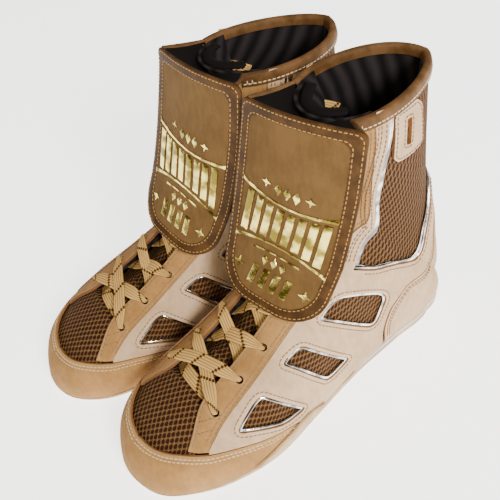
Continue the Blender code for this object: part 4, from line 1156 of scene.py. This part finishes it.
# ---------------------------------------------------------------- lace
def lace_path():
    """(k, s, offset, width, thickness) all along one lace, from end to end."""
    stops = [.10, .22, .36, .5, .64, .78, .90]

    def through(i, sgn, down):
        k, s = EYES[i]
        s = s * sgn
        seq = [(k, s, 5.2, 3.6, 1.6), (k, s, 0.0, 3.2, 1.6), (k, s, -5.6, 3.6, 1.6)]
        return seq if down else seq[::-1]

    def cross(i0, s0, i1, s1, over, start_under):
        (ka, sa), (kb, sb) = EYES[i0], EYES[i1]
        sa, sb = sa * s0, sb * s1
        out = []
        for t in stops:
            if start_under:
                o = np.interp(t, stops, [-5.9, -5.3, -2.9, 0, 2.7, 4.8, 5.0])
            else:
                o = np.interp(t, stops, [5.2, 5.2, 4.2, 3.2, 4.2, 5.2, 5.2])
            o = o + (1.15 if over else -1.0) * np.exp(-((t - .5) / .18) ** 2)
            out.append((ka + (kb - ka) * t, sa + (sb - sa) * t, o, 9.5 if .15 < t < .85 else 6.2, 1.2))
        return out

    def strand(first):
        seq = []
        sgn = first
        for i in range(8):
            seq += cross(i, sgn, i + 1, -sgn, (i + (first > 0)) % 2 == 0, i > 0)
            sgn = -sgn
            seq += through(i + 1, sgn, True)
        k, s = EYES[8]
        seq += [(k + .01, s * sgn * 1.12, -5.4, 5, 1.2), (11.45, s * sgn * 1.35, -5.5, 7, 1.2),
                (11.4, s * sgn * 1.7, -5.6, 8, 1.2)]
        return seq

    k, s = EYES[0]
    bar = []
    for t in stops:
        o = np.interp(abs(t - .5), [0, .14, .28, .4], [0, -1.2, -4.8, -5.6])
        bar.append((k, s * (2 * t - 1), o, 9.5 if .15 < t < .85 else 6.2, 1.2))
    return np.array(strand(-1)[::-1] + through(0, -1, True) + bar + through(0, 1, False) + strand(1))


def ribbon(raw):
    """Flat ribbed lace swept along its path."""
    raw = smooth(raw, 6)
    pos = lifted(raw[:, 0], raw[:, 1], raw[:, 2])
    d = unit(np.gradient(pos, axis=0))
    across = np.cross(d, normal(np.minimum(raw[:, 0], 11.9), raw[:, 1]))
    strong = np.flatnonzero(np.linalg.norm(across, axis=1) > .5)
    across = unit(across)
    for last, i in zip(strong, strong[1:]):
        if across[i] @ across[last] < 0:
            across[i] = -across[i]
    across = at(np.arange(len(raw)), strong, across[strong])
    across = unit(across - d * (across * d).sum(1)[:, None])
    u = np.linspace(-.5, .5, 21)
    low = -.5 * (1 - (2 * np.abs(u)) ** 5)
    prof = np.r_[cols(u, .28 * np.abs(np.cos(5 * np.pi * u)) - low), cols(-u, low)[1:-1]]
    rings = (pos[:, None] + across[:, None] * prof[:, :1] * raw[:, 3, None, None]
             + np.cross(across, d)[:, None] * prof[:, 1:] * raw[:, 4, None, None])
    uv = cols(prof[:, 0] * .95, run(pos)[:, None] / 10).reshape(-1, 2)
    make('flat_lace', *sleeve(rings), 'lace', uv=uv, replaces='lace', sharp=60)


ribbon(lace_path())


# ---------------------------------------------------------------- tongue and its fold
def tongue_outline():
    side = curve([(2.88, .30), (4, .31), (6, .31), (8.5, .33), (10.5, .36), (12.0, .40)])
    s_top = np.linspace(.40, 0, 24)
    rise = point(12.0, s_top)[..., 2]
    slope = (rise - point(11.9, s_top)[..., 2]) / .1
    k_top = 12 + np.clip((212.5 - 3 * (s_top / .4) ** 2 - rise) / slope, 0, None)
    half = np.vstack([side, cols(k_top, s_top)[1:]])
    left = flipped(half)[::-1]
    return ring([half, left, paced([left[-1], half[0]])]), half


def tongue_high(v):
    bump = 3.1 + 2.2 * clamp((3.9 - v[:, 0]) / .6)
    return -8.3 + bump * np.exp(-(v[:, 1] / .12) ** 2)


def tongue_low(v):
    return tongue_high(v) - 3.0 - 3.5 * clamp((.40 - np.abs(v[:, 1])) / .15)


tongue_loop, tongue_half = tongue_outline()
for ob in shell('tongue_pad', cells(tongue_loop, grid=3), tongue_low, tongue_high, 'tongue',
                [closed(tongue_loop)], lip=1.2, wide=3.5, back='lining', replaces='tongue'):
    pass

top = np.vstack([tongue_half[-18:], flipped(tongue_half[-18:])[::-1][1:]])
k, s = top.T
top_mid = (lifted(k, s, tongue_high(top)) + lifted(k, s, tongue_low(top))) / 2
make('tongue_top_tape', *tube_mesh([(top_mid, normal(np.full(len(k), 11.9), s), 1.6, 3.6)], 12), 'lining',
     slot='tongue', sharp=60)

FOLD_ROWS = 9
FOLD_TAPE = np.array([-1, -.975, -.945, -.92])
fold_u = np.r_[FOLD_TAPE, np.linspace(-.915, .915, 41), -FOLD_TAPE[::-1]]
fold_half = np.r_[.7, 1.5, 1.5, .7, np.full(41, .4), .7, 1.5, 1.5, .7]
FOLD_COLS = len(fold_u)


def fold_rings(boot):
    """Soft lined gusset, bound at both sides, from the collar and tongue over to the back of
    the boot's own flap; each ring runs across its top and back along its underside."""
    end = hung(on_flap(cols(39 * fold_u, 1.0), 7.6), boot)
    s = .29 * fold_u
    k = np.interp(np.abs(s), tongue_half[:-25:-1, 1], tongue_half[:-25:-1, 0])
    side = clamp((np.abs(fold_u) - .6) / .4)
    start = lifted(k * (1 - side) + 12.0 * side, s, -5.5 + 5.5 * side)
    t = np.linspace(0, 1, FOLD_ROWS)[:, None, None]
    sag = cols(0, 0, -7 * (1 - fold_u ** 2))
    mid = start * (1 - t) + end * t + sag * np.sin(np.pi * t)
    up = np.array([0, -.2, .97]) * fold_half[:, None]
    return np.concatenate([mid + up, (mid - up)[:, ::-1]], 1)


def tape_column(face):
    """1 where a face of the fold lies in the tape along its sides, 0 in the lining."""
    j = min(min(i % (2 * FOLD_COLS), 2 * FOLD_COLS - 1 - i % (2 * FOLD_COLS)) for i in face)
    return int(j < 4 or j > FOLD_COLS - 6)


fold_faces = sleeve(fold_rings('left'), (FOLD_COLS - 1, 2 * FOLD_COLS - 1))[1]
folds = make('flap_fold', lambda boot: fold_rings(boot).reshape(-1, 3), fold_faces, ('lining', 'binding'),
             body=None, face_mat=[tape_column(f) for f in fold_faces], slot='tongue')
for ob, boot in zip(folds, BOOTS):
    first, last = world(fold_rings(boot)[[0, -1], FOLD_COLS // 2], boot)
    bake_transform(ob)


# ---------------------------------------------------------------- soles
def plan(k, grow, sgn):
    """Sole edge moved outward in plan."""
    p = point(k, np.full_like(k, sgn))
    d = point(k + .02, np.full_like(k, sgn)) - point(k - .02, np.full_like(k, sgn))
    d[..., 2] = 0
    d = unit(d)
    out = cols(-d[..., 1], d[..., 0], 0.0) * sgn
    out[np.abs(k) < 1e-6] = (0, 1, 0)
    return p + out * grow


def edge_height(k):
    return point(k, np.ones_like(k))[:, 2]


SPRING_FROM, SPRING_LENGTH, TOE_SPRING = 205, 76, 5.0


def ground(k, p):
    """Height of the tread: flat, and rising in a curve under the toes."""
    ahead = np.maximum(p[..., 1] - SPRING_FROM, 0)
    return TOE_SPRING * (ahead / SPRING_LENGTH) ** 2


def outsole_top(k, p):
    drop = clamp((k - 5.5) / .9)
    return edge_height(k) - 1.8 - drop * (edge_height(k) - 1.8 - 4.6)


def tread(p):
    """Depth of the grooves under the sole: a fine herringbone with a smooth rim."""
    wave = np.abs(((p[..., 1] + .7 * np.abs((p[..., 0] % 36) - 18)) % 8) - 4)
    return 1.1 * clamp((wave - 2.6) / .8)


def slab(name, ks, levels, mat, columns=4, pattern=None, **kind):
    """Sole-shaped body; levels are (grow, height function) from bottom to top.  Each ring goes
    up the outer side, over the top, down the inner side and back under the bottom."""
    outer, inner = [], []
    for grow, height in levels:
        for sgn, lines in ((1, outer), (-1, inner)):
            p = plan(ks, grow, sgn)
            p[:, 2] = height(ks, p)
            lines.append(p)

    def cover(level, depth):
        a, b = outer[level], inner[level]
        lines = []
        for c in range(1, columns):
            p = a + (b - a) * c / columns
            if depth is not None:
                edge = min(c, columns - c) / columns * np.linalg.norm(a - b, axis=1)
                p[:, 2] += depth(p) * clamp((edge - 4) / 1.5)
            lines.append(p)
        return lines

    rings = np.stack(outer + cover(-1, None) + inner[::-1] + cover(0, pattern)[::-1], 1)
    verts, faces = sleeve(rings, (len(levels) - 1, 2 * len(levels) + columns - 2))
    # rows at the very tip and back share one place, so they are merged there
    keys, first, where = np.unique(np.round(verts, 3), axis=0, return_index=True, return_inverse=True)
    faces = [tuple(dict.fromkeys(where.ravel()[list(face)].tolist())) for face in faces]
    verts = verts[first]
    make(name, verts, [face for face in faces if len(face) > 2], mat, uv=verts[:, :2] / 10, **kind)


def above(mm, thick=0.0):
    """Height function of a level above the sole's edge, thicker under the heel."""
    return lambda k, p: edge_height(k) + mm + thick * clamp((k - 4) / 3)


def on_sole(mm):
    return lambda k, p: outsole_top(k, p) + mm


def off_ground(mm):
    return lambda k, p: ground(k, p) + mm


heel_k = np.linspace(8, 9, 18)
sole_k = np.r_[0, .06, .15, .25, .35, .5, np.arange(.7, 5.6, .06), np.arange(5.6, 8, .06), heel_k]
slab('outsole_rubber', sole_k,
     [(1.2, ground), (2.9, off_ground(.35)), (3.8, off_ground(1.4)),
      (4.05, lambda k, p: (ground(k, p) + outsole_top(k, p)) / 2 + .7),
      (3.9, on_sole(-.35)), (3.4, outsole_top)],
     'gum', 60, tread, replaces='outsole', sharp=30)
slab('heel_wedge_rubber', np.r_[np.linspace(5.95, 8, 30), heel_k[1:]],
     [(3.4, on_sole(.3)), (4.1, on_sole(.9)), (3.9, above(-2.4)), (3.2, above(-1.8))], 'wedge',
     replaces='heel_wedge')
slab('footbed_cloth', np.r_[np.linspace(.6, 8, 60), np.linspace(8, 8.45, 8)[1:]],
     [(-6.2, above(2.1)), (-5.8, above(4.6, 1.5)), (-6.6, above(5.2, 1.5))], 'footbed', replaces='footbed')

wrap_top = curve([(3.35, .965), (3.7, .92), (4.2, .885), (4.7, .89), (5.15, .965)])
wrap_rows = doubled(wrap_top[4:-4], -2.2, -3.8)
wrap = cells(ring([wrap_top, *straight(wrap_top[-1], wrap_top[0])]), grid=2, marks=wrap_rows)
shell('ball_wrap_rubber', wrap, 4.4, 6.8, 'gum', [wrap_top], wrap_rows, lip=1.4, wide=2.4,
      replaces='ball_wrap')

# ---------------------------------------------------------------- thread, edges and carried nodes
make('toe_and_collar_stitching', *stitch_mesh(rand_thread, dia=.85), 'thread', slot='suede')
# the side stitches take the thread with painted shade
make('side_stitching', *stitch_mesh(side_thread, dia=.9), 'dark_thread', slot='suede_pale')
make('flap_stitching', *stitch_mesh(flap_rows, 2.4, 3.2, .65), 'gold_thread', body='flap_body',
     slot='flap_binding')
make('raw_edges', *tube_mesh(edge_lines), 'raw', slot='binding', sharp=70)
make('silver_beads', *tube_mesh(chrome_lines, 9), 'film', sharp=70)
make('stay_beads', *tube_mesh(bead_lines), 'bead', slot='flap_binding', sharp=70)

CARRIED = {'lasting_board': 'board', 'toe_puff': 'stiffener', 'heel_stiffener': 'stiffener'}
for boot in BOOTS:
    for node, mat in CARRIED.items():
        for slot in bpy.data.objects[boot + '_' + node].material_slots:
            slot.material = MATS[mat]


# ---------------------------------------------------------------- studio
def area_light(name, place_m, aim, size, power, color=(1, 1, 1)):
    data = bpy.data.lights.new(name, 'AREA')
    data.shape, data.size, data.energy, data.color = 'DISK', size, power, color
    ob = bpy.data.objects.new(name, data)
    ob.location = place_m
    ob.rotation_euler = (Vector(aim) - Vector(place_m)).to_track_quat('-Z', 'Y').to_euler()
    bpy.context.scene.collection.objects.link(ob)


area_light('key', (1.35, .1, 1.15), (0, 0, .08), .5, 40, (1, .98, .95))
area_light('front', (.5, -1.5, 1.1), (0, 0, .08), .8, 7, (1, .9, .74))
area_light('back', (-.5, 1.3, 1.2), (0, 0, .1), .9, 5, (1, .92, .8))

studio = bpy.data.worlds.new('studio')
bpy.context.scene.world = studio
studio.use_nodes = True
put(studio.node_tree.nodes['Background'], Color=(1, .9, .76, 1), Strength=.38)

floor_mat = shader('pale_floor', .9, Base_Color=(.93, .93, .925, 1), Emission_Color=(1, 1, 1, 1),
                   Emission_Strength=2.6)[0]
me = bpy.data.meshes.new('studio_floor')
me.from_pydata([(-6, -6, 0), (6, -6, 0), (6, 6, 0), (-6, 6, 0)], [], [(0, 1, 2, 3)])
me.materials.append(floor_mat)
floor = bpy.data.objects.new('studio_floor', me)
floor.location.z = -.0004
bpy.context.scene.collection.objects.link(floor)

# ---------------------------------------------------------------- camera
# place (mm in the left boot's own frame), heading, height angle and roll, lens on a sensor
# 36 mm wide, and the small shift of the frame from the view axis
EYE_AT = (266.3, -132.4, 454.2)
HEADING, HEIGHT, ROLL = np.radians((64.8, 46.9, -13.5)) + (TURN, 0, 0)
SENSOR, LENS, FRAME_SHIFT = 36, 49.5576, (.0002, .0016)


def camera():
    data = bpy.data.cameras.new('photo_view')
    data.sensor_width, data.lens = SENSOR, LENS
    data.shift_x, data.shift_y = FRAME_SHIFT
    ob = bpy.data.objects.new('photo_view', data)
    bpy.context.scene.collection.objects.link(ob)
    x, y, z = EYE_AT
    where = world(np.array([x, MID - y, z]), 'left')
    right = np.array([np.cos(HEADING), np.sin(HEADING), 0])
    back = np.array([np.sin(HEADING) * np.cos(HEIGHT), -np.cos(HEADING) * np.cos(HEIGHT), np.sin(HEIGHT)])
    up = np.cross(back, right)
    right, up = np.cos(ROLL) * right + np.sin(ROLL) * up, np.cos(ROLL) * up - np.sin(ROLL) * right
    ob.matrix_world = Matrix([*cols(right, up, back, where).tolist(), (0, 0, 0, 1)])
    bpy.context.scene.camera = ob


camera()
